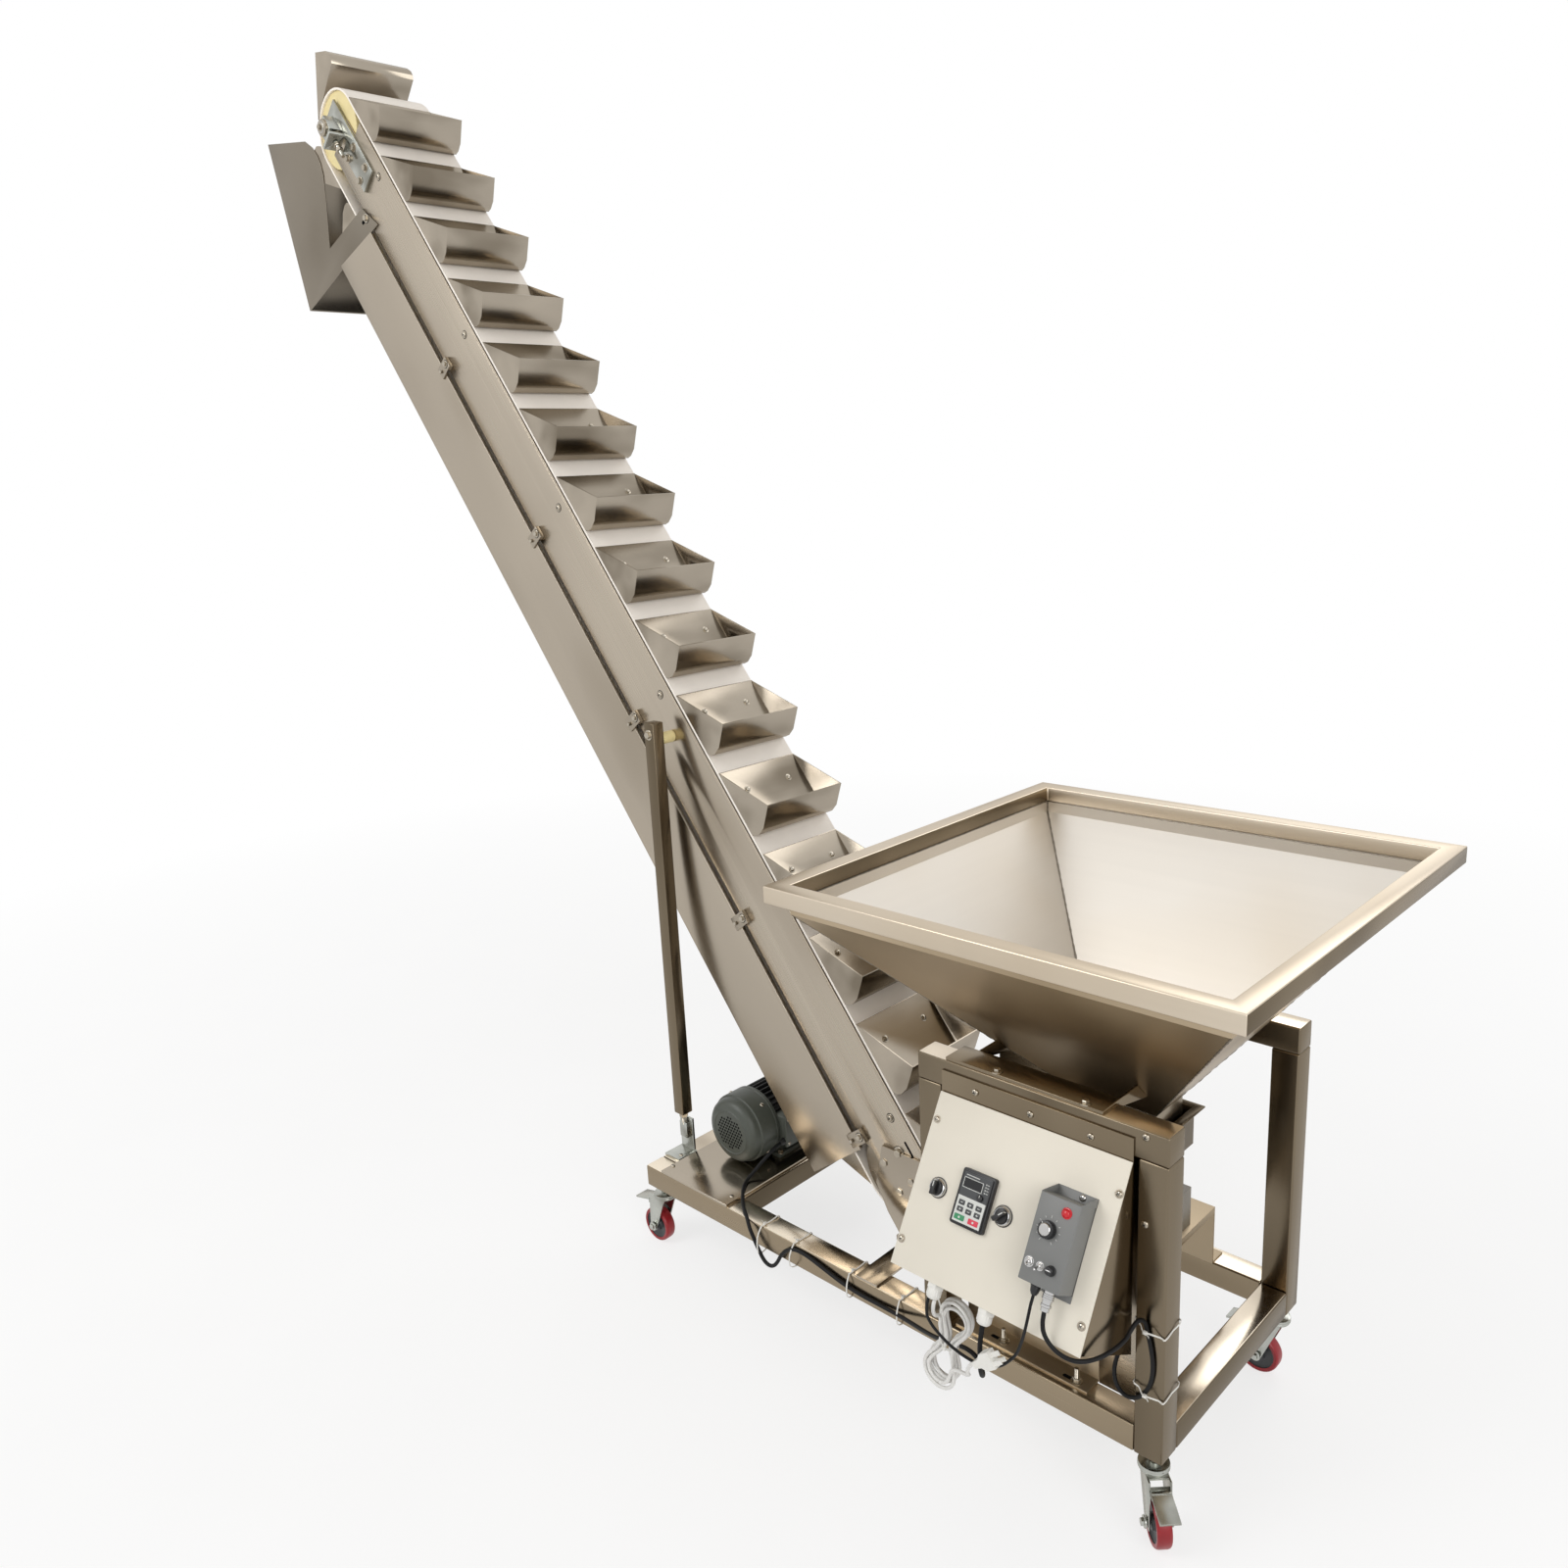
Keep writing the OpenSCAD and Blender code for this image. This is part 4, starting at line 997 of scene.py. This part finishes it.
class ELEVATOR_OT_belt(bpy.types.Operator):
    """Makes the buckets with softened edges and their bolts on the belt."""

    bl_idname = "elevator.belt"
    bl_label = "Belt and buckets"

    def execute(self, context):
        dress("belt", "belt")
        for n in ("carry", "turn", "return"):
            skin("buckets_%s_sheet" % n, "buckets_" + n, 0.45, "bucket_sheet", steps=1)
        bm = bmesh.new()
        half = SHAFTS_APART + pi * PULLEY
        head = [(0, -0.2), (7.5, -0.2), (7.5, 0.9), (5.2, 1.1), (5.0, 3.6), (3.4, 4.6), (0, 5.0)]
        for i in range(BUCKETS):
            p = (SHAFTS_APART - 34 - i * 2 * half / BUCKETS) % (2 * half)
            if p < SHAFTS_APART:
                d, side = SHAFTS_APART - p + 18, 1
            elif half < p < half + SHAFTS_APART:
                d, side = p - half - 18, -1
            else:
                continue
            for y in (MID - 62, MID + 62):
                m = axes(on_slope(d, y, side * (PULLEY + 2)), SLOPE_N * side, SLOPE_X * side)
                lathe(bm, head, m, 14)
        piece("bucket_bolts", bm, "bolt")
        return {"FINISHED"}


class ELEVATOR_OT_chute(bpy.types.Operator):
    """Makes the discharge chute with its slots and bolts."""

    bl_idname = "elevator.chute"
    bl_label = "Discharge chute"

    def execute(self, context):
        skin("chute_sheets", "chute", mm("sheet_edge"), "chute_sheet")
        bm = bmesh.new()
        for y, out in near_and_far(148):
            a, b = on_slope(227, y, -82), on_slope(237, y, -55)
            slot_mark(bm, 24, 4.6, axes((a + b) / 2, out, b - a))
            hex_bolt(bm, on_slope(233, y, -60), out, turn=1.0, dark=1)
        piece("chute_bolts", bm, "bolt hole")
        return {"FINISHED"}


class ELEVATOR_OT_struts(bpy.types.Operator):
    """Makes the two struts with their foot angles, adjusting studs and top bolts."""

    bl_idname = "elevator.struts"
    bl_label = "Struts"

    def execute(self, context):
        skin("strut_tubes", "struts", 2.5, "tube_z")
        skin("strut_foot_angles", "strut_feet", 1.2, "zinc")
        skin("strut_spacer_rollers", "strut_spacers", 2.0, "nylon")
        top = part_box("struts")[1].z * 1000 - OFFSET.z - 26
        bm = bmesh.new()
        nut = [(5, 0), (10, 0), (10, 6.5), (9, 7.5), (5, 7.5)]
        for y, out in near_and_far(85):
            s = -out.y
            rod = y + 15 * s
            hex_bolt(bm, at(STRUT_X, y, top), out)
            hex_bolt(bm, at(STRUT_X, y + 22 * s, 108), out)
            thread(bm, axes(at(STRUT_X, rod, 124), Z, X), 5.6, 0, 26)
            lathe(bm, nut, axes(at(STRUT_X, rod, 140), Z, X), 6)
            pan_screw(bm, at(STRUT_X + 12, y - 12 * s, 55), Z, 5)
        piece("strut_bolts", bm, "bolt black")
        return {"FINISHED"}


class ELEVATOR_OT_drive(bpy.types.Operator):
    """Makes the motor with its fan cowl, fins and terminal box, the gearbox and the chain guard."""

    bl_idname = "elevator.drive"
    bl_label = "Motor and drive"

    def execute(self, context):
        c = at(*MOTOR_AXIS)
        along = axes(c, Y, X)
        self.cowl(c, along)
        self.motor(c, along)
        skin("gearbox_casting", "gearbox", 5.0, "motor_grey", steps=3, angle=0.9)
        skin("chain_guard_sheet", "chain_guard", 1.2, "sheet")
        bm = bmesh.new()
        guard_screws = ((-1112, 185), (-1112, 88), (-647, 255), (-647, 154), (-880, 225), (-880, 104))
        for x in (-0.042, 0.042):
            for z in (-0.062, 0.058):
                hex_bolt(bm, c + Vector((x, 0.436, z)), Y, 11)
        for x, z in guard_screws:
            pan_screw(bm, at(x, 478, z), Y, 5, turn=x)
        piece("drive_screws", bm, "bolt black")
        return {"FINISHED"}

    def cowl(self, c, along):
        """The fan cowl: a domed cup with a recessed middle full of holes, and its screws."""
        bm = bmesh.new()
        prof = [(0, 119.6), (48, 119.4), (49.5, 118.2), (52, 118.2), (53.5, 119.8), (61, 121.4), (67.5, 125),
                (72, 130.5), (74.2, 137.5), (74.6, 143), (75.2, 144.6), (78.4, 146.6), (79, 149), (79, 189.4),
                (77.6, 190), (76, 188), (76, 150), (0, 150)]
        lathe(bm, prof, along, 72)
        front = axes(c + Y * 0.1195, -Y, X)
        # The holes are flat discs of the near-black hole finish on the cup: painted shade for the dark behind
        # them.
        for j in range(-5, 6):
            for i in range(-5, 6):
                x, y = i * 8.2 + (4.1 if j % 2 else 0), j * 7.2
                if hypot(x, y) < 38:
                    prism(bm, circle(2.7, 10, x, y), 0.0, 0.3, front, 1)
        for a in (0.9, 2.3, 4.2, 5.6):
            out = Vector((cos(a), 0, sin(a)))
            pan_screw(bm, c + out * 0.0788 + Y * 0.176, out, 4.6, 2, 1)
        finishes = "motor_grey hole bolt"
        piece("fan_cowl_shell", bm, finishes, replaces=("fan_cowl",))

    def motor(self, c, along):
        """The finned body between two flanges, on its feet, with the terminal box."""
        bm = bmesh.new()
        lathe(bm, [(0, 189), (63, 190), (63, 345), (0, 346)], along, 64, 1)
        for k in range(32):
            block(bm, (60, -1.3, 196), (75, 1.3, 340), spun(along, 2 * pi * k / 32), 1, 0.5)
        for z in (190, 345):
            flange = [(0, z), (77, z), (79, z + 2), (79, z + 9), (77, z + 11.5), (0, z + 11.5)]
            lathe(bm, flange, along, 72)
        m = axes(c, Z, X)
        for sx in (-1, 1):
            block(bm, (min(sx * 40, sx * 66), 206, -80), (max(sx * 40, sx * 66), 324, -70), m, 0, 2)
            block(bm, (min(sx * 40, sx * 52), 212, -72), (max(sx * 40, sx * 52), 318, -44), m, 0, 2)
            for y in (0.216, 0.314):
                hex_bolt(bm, c + Vector((sx * 0.059, y, -0.070)), Z, 10, 2)
        block(bm, (54, 200, -35), (92, 290, 35), m, 0, 4, 3)
        block(bm, (92, 198, -37), (100, 292, 37), m, 0, 2.4, 3)
        for y in (206, 284):
            for z in (-29, 29):
                pan_screw(bm, c + Vector((100, y, z)) / 1000, X, 4, 2, 1, turn=y)
        gland = [(0, 0), (8, 0), (8, 3), (6.8, 10), (5.2, 15), (0, 15)]
        lathe(bm, gland, axes(c + Vector((0.09, 0.201, -0.024)), -Y, X), 24, 1)
        finishes = "motor_grey fin_black bolt"
        piece("motor_body", bm, finishes, replaces=("motor",))


def panel_axes(u, v, w):
    """Panel frame at a place: X along the panel, Y up its slope, Z out of it."""
    return axes(on_panel(u, v, w), PANEL_W, X)


class ELEVATOR_OT_cabinet(bpy.types.Operator):
    """Makes the cabinet, its cream panel and the panel's screws."""

    bl_idname = "elevator.cabinet"
    bl_label = "Cabinet and panel"

    def execute(self, context):
        skin("cabinet_sheet", "cabinet", mm("sheet_edge"), "dark_plate")
        skin("panel_plate", "control_panel", 0.7, "cream")
        bm = bmesh.new()
        for u, v in ((9, 47), (354, 51), (8, 252), (351, 252)):
            lathe(bm, [(0, 0), (7.2, 0), (7.0, 0.9), (0, 1.0)], panel_axes(u, v, PANEL_FACE), 28)
            pan_screw(bm, on_panel(u, v, PANEL_FACE + 0.8), PANEL_W, 5.2, turn=v)
        piece("panel_screws", bm, "bolt black")
        return {"FINISHED"}


class ELEVATOR_OT_keypad(bpy.types.Operator):
    """Makes the drive's keypad: its frame, display, small knob and keys, with no words on them."""

    bl_idname = "elevator.keypad"
    bl_label = "Keypad"

    def execute(self, context):
        m = panel_axes(123, 146.5, PANEL_FACE)
        bm = bmesh.new()
        prism(bm, self.corners(32, 45.5, 4), 0, 9.5, m, 0, 1.2, 3)
        prism(bm, self.corners(28.8, 42.3, 2.5), 9.3, 11.6, m, 0, 0.8)
        face = (((-26.4, 1.5, 11.5), (26.4, 40, 12.0), 1), ((-26.4, -40, 11.5), (26.4, 1.5, 12.0), 2),
                ((-24, 15, 11.9), (13, 32, 12.15), 2), ((-23, 16, 12.1), (12, 31, 12.3), 3),
                ((-22, 35.2, 11.9), (4, 36.4, 12.05), 2))
        for lo, hi, mat in face:
            block(bm, lo, hi, m, mat)
        for y in (18, 22.6, 27.2, 31.8):
            prism(bm, circle(1.1, 8, 18.5, y), 11.9, 12.3, m, 2)
            block(bm, (20.6, y - 0.6, 11.9), (24.4, y + 0.4, 12.05), m, 2)
        knob = m @ Matrix.Translation((13.5, 8.2, 0))
        lathe(bm, [(0, 11.5), (5.4, 11.8), (5.2, 15.2), (4.2, 16.0), (0, 16.1)], knob, 28)
        block(bm, (-0.5, 0.6, 15.9), (0.5, 4.4, 16.25), knob, 2)
        for row, y in enumerate((-8.5, -19.5)):
            for col, x in enumerate((-16.5, 0, 16.5)):
                prism(bm, self.corners(5.6, 4.0, 1.2, x, y), 11.9, 12.9, m, 1, 0.4)
                block(bm, (x - 2.2, y - 0.5, 12.85), (x + 2.2, y + 0.5, 13.0), m, 2)
                if (row + col) % 2:
                    block(bm, (x - 0.5, y - 1.9, 12.85), (x + 0.5, y + 1.9, 13.0), m, 2)
        for x, mat in ((-14, 4), (13, 5)):
            prism(bm, self.corners(9.5, 4.4, 1.2, x, -32.2), 11.9, 12.9, m, mat, 0.4)
            prism(bm, circle(1.9, 12, x, -32.2), 12.85, 13.05, m, 2)
        finishes = "black dark_grey light_key window green_key red_key"
        piece("keypad_unit", bm, finishes, replaces=("keypad",))
        return {"FINISHED"}

    def corners(self, w, h, r, x=0.0, y=0.0):
        """The outline of a key: a rectangle with round corners, w and h from its middle to its sides."""
        out = []
        for k, (sx, sy) in enumerate(((1, 1), (-1, 1), (-1, -1), (1, -1))):
            for j in range(4):
                a = pi / 2 * (k + j / 3)
                out.append((x + sx * (w - r) + r * cos(a), y + sy * (h - r) + r * sin(a)))
        return out


class ELEVATOR_OT_controller(bpy.types.Operator):
    """Makes the feeder's control box with its lamp, dial, toggles, fuse knob and connectors."""

    bl_idname = "elevator.controller"
    bl_label = "Feeder control box"

    def execute(self, context):
        self.case()
        self.plugs()
        self.knob()
        return {"FINISHED"}

    def case(self):
        """The box on its flanges, with its seams, screws, lamp, dial marks, toggles and fuse knob."""
        m = panel_axes(291, 151, PANEL_FACE)
        bm = bmesh.new()
        block(bm, (-35, -79, 0), (35, 81, 2.6), m, 0, 0.6)
        block(bm, (-35, -67, 2.4), (35, 67, 50), m, 0, 1.6, 3)
        gusset = [(66, 0), (81, 0), (81, 3.5), (67.5, 49), (66, 49)]
        for x in (-35, 33.4):
            part = bmesh.new()
            a, b = ([part.verts.new((x + t, y, z)) for y, z in gusset] for t in (0, 1.6))
            part.faces.new(a)
            part.faces.new(b[::-1])
            for i in range(5):
                j = (i + 1) % 5
                part.faces.new((a[i], b[i], b[j], a[j]))
            merge(bm, part, m, 0, 0.4)
        seams = (((-35.3, -67.2, 2.6), (-34.6, 67.2, 4.0)), ((34.7, -67.2, 2.6), (35.3, 67.2, 4.0)),
                 ((-35.2, -67.3, 2.6), (35.2, -66.7, 4.0)))
        for lo, hi in seams:
            block(bm, lo, hi, m, 1)
        pan_screw(bm, on_panel(301, 77, 5.6), PANEL_W, 5.6, 2, 1)
        pan_screw(bm, on_panel(272, 225, 5.6), PANEL_W, 4.4, 2, 1)
        lamp = panel_axes(306, 102, BOX_FACE)
        lathe(bm, [(0, -0.5), (8.6, -0.3), (8.6, 1.0), (7.4, 1.6), (0, 1.6)], lamp, 32, 3)
        lathe(bm, [(0, 1.4), (6.6, 1.5), (6.6, 3.4), (5.6, 5.2), (3.4, 6.4), (0, 6.9)], lamp, 32, 3)
        dial = panel_axes(*DIAL, BOX_FACE)
        for k in range(11):
            tick = spun(dial, radians(240 - 30 * k))
            block(bm, (17.6, -0.35, 0), (20.6 if k % 5 else 21.6, 0.35, 0.2), tick, 4)
        for u, r, lean in ((268, 6.4, (0.8, 1.0, 0)), (287, 5.2, (1, 0, 0))):
            t = panel_axes(u, 189, BOX_FACE)
            lathe(bm, [(0, -0.3), (r + 1.8, -0.3), (r + 1.8, 0.8), (0, 0.9)], t, 28, 2)
            lathe(bm, [(0, 0.7), (r, 0.8), (r, 3.2), (r * 0.9, 3.8), (0, 3.8)], t, 6, 2)
            lathe(bm, [(0, 3.6), (3.2, 3.7), (3.0, 6.2), (2.2, 7.0), (0, 7.2)], t, 20, 2)
            t = t @ Matrix.Translation((0, 0, 5.8)) @ Matrix.Rotation(radians(28), 4, lean)
            lathe(bm, [(0, 0), (1.3, 0), (1.9, 9), (2.1, 11.5), (1.2, 12.8), (0, 13)], t, 16, 2)
        fuse = panel_axes(306, 189, BOX_FACE)
        cap = [(0, -0.3), (8.2, -0.3), (8.0, 2.0), (7.0, 2.6), (6.6, 9.4), (5.6, 10.6), (0, 10.8)]
        lathe(bm, cap, fuse, 32, 1)
        block(bm, (-4.6, -0.7, 10.6), (4.6, 0.7, 11.1), fuse, 2, 0.2)
        finishes = "control_grey black chrome red_lamp light_key"
        piece("control_box_case", bm, finishes, replaces=("controller_box",))

    def plugs(self):
        """The cord's strain relief and the ringed plug under the box."""
        bm = bmesh.new()
        prof = [(0, -1), (8.6, -0.6), (8.6, 4.5), (7.6, 5.2), (7.8, 6), (6.9, 13), (4.2, 18), (0, 18)]
        lathe(bm, prof, axes(on_panel(277, 218, 29), PANEL_V, X), 12, 1)
        prof = [(0, -1), (9.6, -0.6), (9.6, 2.5), (8.2, 3.0), (8.2, 6.5)]
        for z in (8, 11, 14):
            prof += [(9.2, z - 0.8), (9.2, z + 0.8), (8.4, z + 1.2), (8.4, z + 1.6)]
        prof += [(7.6, 17), (7.6, 22), (8.4, 22.5), (8.4, 26), (7.0, 27), (6.4, 33), (4.2, 34), (0, 34)]
        lathe(bm, prof, axes(on_panel(301, 218, 29), PANEL_V, X), 32)
        finishes = "chrome black"
        piece("control_box_plugs", bm, finishes, replaces=("controller_connectors",))

    def knob(self):
        """The ridged dial knob with its chrome cap and white mark."""
        bm = bmesh.new()
        m = panel_axes(*DIAL, BOX_FACE + 0.5)
        prism(bm, ridged(40, 13.6, 12.6), 0.2, 10.5, m, 0, 0.5)
        lathe(bm, [(0, 0), (14, 0.1), (14, 1.6), (12.4, 2.2), (0, 2.2)], m, 40)
        lathe(bm, [(0, 10.4), (9.6, 10.5), (9.4, 12.6), (8.4, 13.6), (0, 14.0)], m, 40, 1)
        block(bm, (-0.6, 8.5, 10.4), (0.6, 12.4, 11.0), spun(m, 0.7), 2)
        finishes = "black chrome light_key"
        piece("dial_knob_cap", bm, finishes, "dial_knob", ("dial_knob",))


def ridged(n, even, odd):
    """A round outline whose even points lie at one radius and whose odd points at another."""
    return [(r * cos(2 * pi * i / n), r * sin(2 * pi * i / n))
            for i, r in enumerate((even, odd) * (n // 2))]


class ELEVATOR_OT_selectors(bpy.types.Operator):
    """Makes the two rotary selectors: a chrome bezel and a black knob with a white pointer."""

    bl_idname = "elevator.selectors"
    bl_label = "Selector switches"

    def execute(self, context):
        bm = bmesh.new()
        bezel = [(12.4, 0), (16, 0), (16, 2.2), (15.2, 4.4), (14.2, 6.2), (13.2, 6.9), (12.4, 6.6), (12.4, 0)]
        for name, u, turn in SELECTORS:
            m = panel_axes(u, SELECTOR_V, PANEL_FACE)
            lathe(bm, bezel, m, 48)
            lathe(bm, [(0, 0.1), (12.6, 0.1), (12.6, 0.5), (0, 0.5)], m, 40, 1)
            # A thin black ring round the bezel: painted shadow line where the bezel meets the panel.
            lathe(bm, [(15.8, 0), (17.2, 0), (17.2, 1.0), (15.8, 1.2)], m, 48, 1)
        piece("selector_rings", bm, "chrome black", replaces=("selector_bezels",))
        grip = [(-4, -11), (-2.6, -12), (2.6, -12), (4, -11), (3.2, 10.6), (1.8, 11.6), (-1.8, 11.6),
                (-3.2, 10.6)]
        for name, u, turn in SELECTORS:
            bm = bmesh.new()
            m = spun(panel_axes(u, SELECTOR_V, PANEL_FACE + 0.6), radians(turn))
            lathe(bm, [(0, 0), (11.9, 0.1), (11.9, 6.4), (10.8, 8.0), (8.6, 8.6), (0, 8.6)], m, 40)
            prism(bm, grip, 7.5, 18.5, m, 0, 1.1, 3)
            block(bm, (-0.8, 1.5, 18.35), (0.8, 10.4, 18.75), m, 1, 0.15)
            block(bm, (-0.8, 11.2, 9), (0.8, 11.75, 18), m, 1, 0.15)
            piece(name + "_knob", bm, "black light_key", name, (name,))
        return {"FINISHED"}


class ELEVATOR_OT_glands(bpy.types.Operator):
    """Makes the white cable glands under the cabinet."""

    bl_idname = "elevator.glands"
    bl_label = "Cable glands"

    def execute(self, context):
        bm = bmesh.new()
        for u in (86, 186):
            m = axes(on_panel(u, 293, -14), PANEL_V, X)
            lathe(bm, [(0, -1), (14.6, -0.6), (14.6, 1.2), (13.6, 2.0), (0, 2.0)], m, 36)
            lathe(bm, [(0, 1.8), (14.6, 2), (15, 3), (15, 9.2), (14.2, 10.4), (0, 10.4)], m, 6)
            prism(bm, ridged(36, 11.7, 12.4), 10.3, 22.5, m, 0, 0.4)
            lathe(bm, [(0, 22.2), (11.6, 22.4), (10.6, 25.4), (7.4, 27.8), (5.0, 28.4), (0, 28.4)], m, 36)
        piece("gland_caps", bm, "white", replaces=("cable_glands",))
        return {"FINISHED"}


class ELEVATOR_OT_casters(bpy.types.Operator):
    """Makes the four braked casters."""

    bl_idname = "elevator.casters"
    bl_label = "Casters"

    def execute(self, context):
        skin("caster_stem_bolts", "caster_stems", 0.8, "zinc")
        bearing = [(25, 1), (26, 2.2), (26, 4.2), (24.6, 5.4), (24.6, 7.0), (26, 8.2), (25.4, 10.2), (22, 10.8),
                   (7, 10.9), (7, 8)]
        tread = [(31.5, -11.5), (34, -12.6), (37.5, -12.4), (39.2, -10.6), (40, -7), (40, 7), (39.2, 10.6),
                 (37.5, 12.4), (34, 12.6), (31.5, 11.5)]
        hub = [(31.6, 11.4), (31.2, 9.4), (28, 7.2), (15, 6.4), (13.5, 8), (12.6, 12.6), (10.6, 13), (4.2, 13)]
        for k, x, y, heading in CASTERS:
            a = radians(heading)
            along = Vector((cos(a), sin(a), 0))
            side = Z.cross(along)
            c = at(x, y, 40 - OFFSET.z) + along * 0.028
            name = "fork_" + k
            bm = rounded(name, 0.8)
            lathe(bm, bearing, axes(at(x, y, -31), Z, along), 40)
            for s in (1, -1):
                hex_bolt(bm, c + side * (0.022 * s), side * s, 12)
            piece("caster_" + name, bm, "zinc", name, (name,))
            name = "wheel_" + k
            bm = bmesh.new()
            m = axes(c, side, along)
            lathe(bm, tread, m, 64)
            lathe(bm, hub, m, 64, 1)
            lathe(bm, [(r, -z) for r, z in reversed(hub)], m, 64, 1)
            lathe(bm, [(4.2, -13), (4.2, 13)], m, 20, 1)
            piece("caster_" + name, bm, "wheel_red dark_grey", name, (name,))
        return {"FINISHED"}


class ELEVATOR_OT_ties(bpy.types.Operator):
    """Makes the nylon cable ties round the post, the rail and the folded lead."""

    bl_idname = "elevator.ties"
    bl_label = "Cable ties"

    def execute(self, context):
        bm = bmesh.new()
        for z, x, y in ((241, -27, -9.5), (126, -26, -9.0)):
            loop = [(x - 5, y - 0.5, z), (x + 5, y - 0.6, z), (-6, -2, z - 4), (1.2, -0.6, z - 6),
                    (1.2, 25, z - 3), (1.2, 50.6, z), (-25, 51.3, z + 3), (-51, 50.6, z + 4),
                    (-51.2, 25, z + 5), (-51, -1.2, z + 8), (-40, -3.5, z + 5)]
            tail = [(x + 2, y - 2.5, z), (x + 6, y - 5, z - 1), (x + 9, y - 7, z - 2)]
            lock = axes(at(x, y + 0.5, z), -Y, X)
            self.tie(bm, catmull(loop, 3, True), 2.6, tail, Z, lock, (3.4, 2.6, 5.0))
        for x, low in ((-898, -9), (-805, -1.4), (-655, -1.4), (-530, -1.4)):
            front = -14.8 if x < -800 else -10.5
            loop = [(x, front, 8 if x > -850 else -2), (x, front + 0.5, 30), (x, -2.4, 49), (x + 1, 0.5, 51.4),
                    (x + 2, 26, 51.3), (x + 2, 50.4, 51), (x + 2, 51.2, 25), (x + 1, 50.4, -1.2), (x, 25, -1.8),
                    (x, -1, low)]
            tail = [(x + 1, 8, 55), (x + 2, 3, 61), (x + 3, -1, 66)]
            self.tie(bm, catmull(loop, 3, True), 2.8, tail, X, axes(at(x + 1, 9, 51), Z, X), (2.6, 3.4, 5.2))
        piece("cable_ties", bm, "white")
        bm = bmesh.new()
        mid = HANK_MID + Vector((0, -123, 0))
        loop = []
        for k in range(20):
            a = pi * k / 10
            loop.append(mid + HANK_SIDE * 17.5 * cos(a) + Y * 13.2 * sin(a) + HANK_ALONG * 2 * sin(2 * a))
        tail = ((2, -15, 0), (6, -19, 14), (9, -22, 40), (6, -24, 72), (0, -26, 100))
        lock = axes(at(mid.x + 2, mid.y - 13.2, mid.z), -Y, HANK_ALONG)
        strap(bm, loop, 2.6, 1.1, HANK_ALONG)
        block(bm, (-2.6, -3.4, 0), (2.6, 3.4, 5), lock, 0, 0.8)
        strap(bm, catmull([mid + Vector(v) for v in tail]), 2.4, 1.0, X, closed=False)
        piece("hank_tie", bm, "white")
        return {"FINISHED"}

    def tie(self, bm, loop, width, tail, across, lock, size):
        """A band round its loop, with its tail, and a head of half sizes in x and y and a height."""
        strap(bm, loop, width, 1.1, across)
        block(bm, (-size[0], -size[1], 0), size, lock, 0, 0.8)
        strap(bm, tail, 2.4, 1.0, across, closed=False)


class ELEVATOR_PT_looks(bpy.types.Panel):
    """Lists the elevator's pieces in the sidebar."""

    bl_label = "Bucket Elevator"
    bl_idname = "ELEVATOR_PT_looks"
    bl_space_type = "VIEW_3D"
    bl_region_type = "UI"
    bl_category = "Elevator"

    def draw(self, context):
        for op in OPERATORS:
            self.layout.operator(op.bl_idname)
        for group in ("elevator_sizes", "elevator_colours", "elevator_light"):
            box = self.layout.box()
            held = getattr(context.scene, group)
            for name in held.__annotations__:
                box.prop(held, name)


GROUPS = {"elevator_sizes": ElevatorSizes, "elevator_colours": ElevatorColours, "elevator_light": ElevatorLight}
OPERATORS = (
    ELEVATOR_OT_stage, ELEVATOR_OT_cords, ELEVATOR_OT_base_frame, ELEVATOR_OT_hopper, ELEVATOR_OT_feeder,
    ELEVATOR_OT_slope_frame, ELEVATOR_OT_takeups, ELEVATOR_OT_belt, ELEVATOR_OT_chute, ELEVATOR_OT_struts,
    ELEVATOR_OT_drive, ELEVATOR_OT_cabinet, ELEVATOR_OT_keypad, ELEVATOR_OT_controller, ELEVATOR_OT_selectors,
    ELEVATOR_OT_glands, ELEVATOR_OT_casters, ELEVATOR_OT_ties)


def register():
    for c in (*GROUPS.values(), *OPERATORS, ELEVATOR_PT_looks):
        bpy.utils.register_class(c)
    for name, group in GROUPS.items():
        setattr(bpy.types.Scene, name, bpy.props.PointerProperty(type=group))


def unregister():
    for name in GROUPS:
        delattr(bpy.types.Scene, name)
    for c in reversed((*GROUPS.values(), *OPERATORS, ELEVATOR_PT_looks)):
        bpy.utils.unregister_class(c)


def main():
    register()
    for op in OPERATORS:
        getattr(bpy.ops.elevator, op.bl_idname.split(".")[1])()
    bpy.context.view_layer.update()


if __name__ == "__main__":
    main()
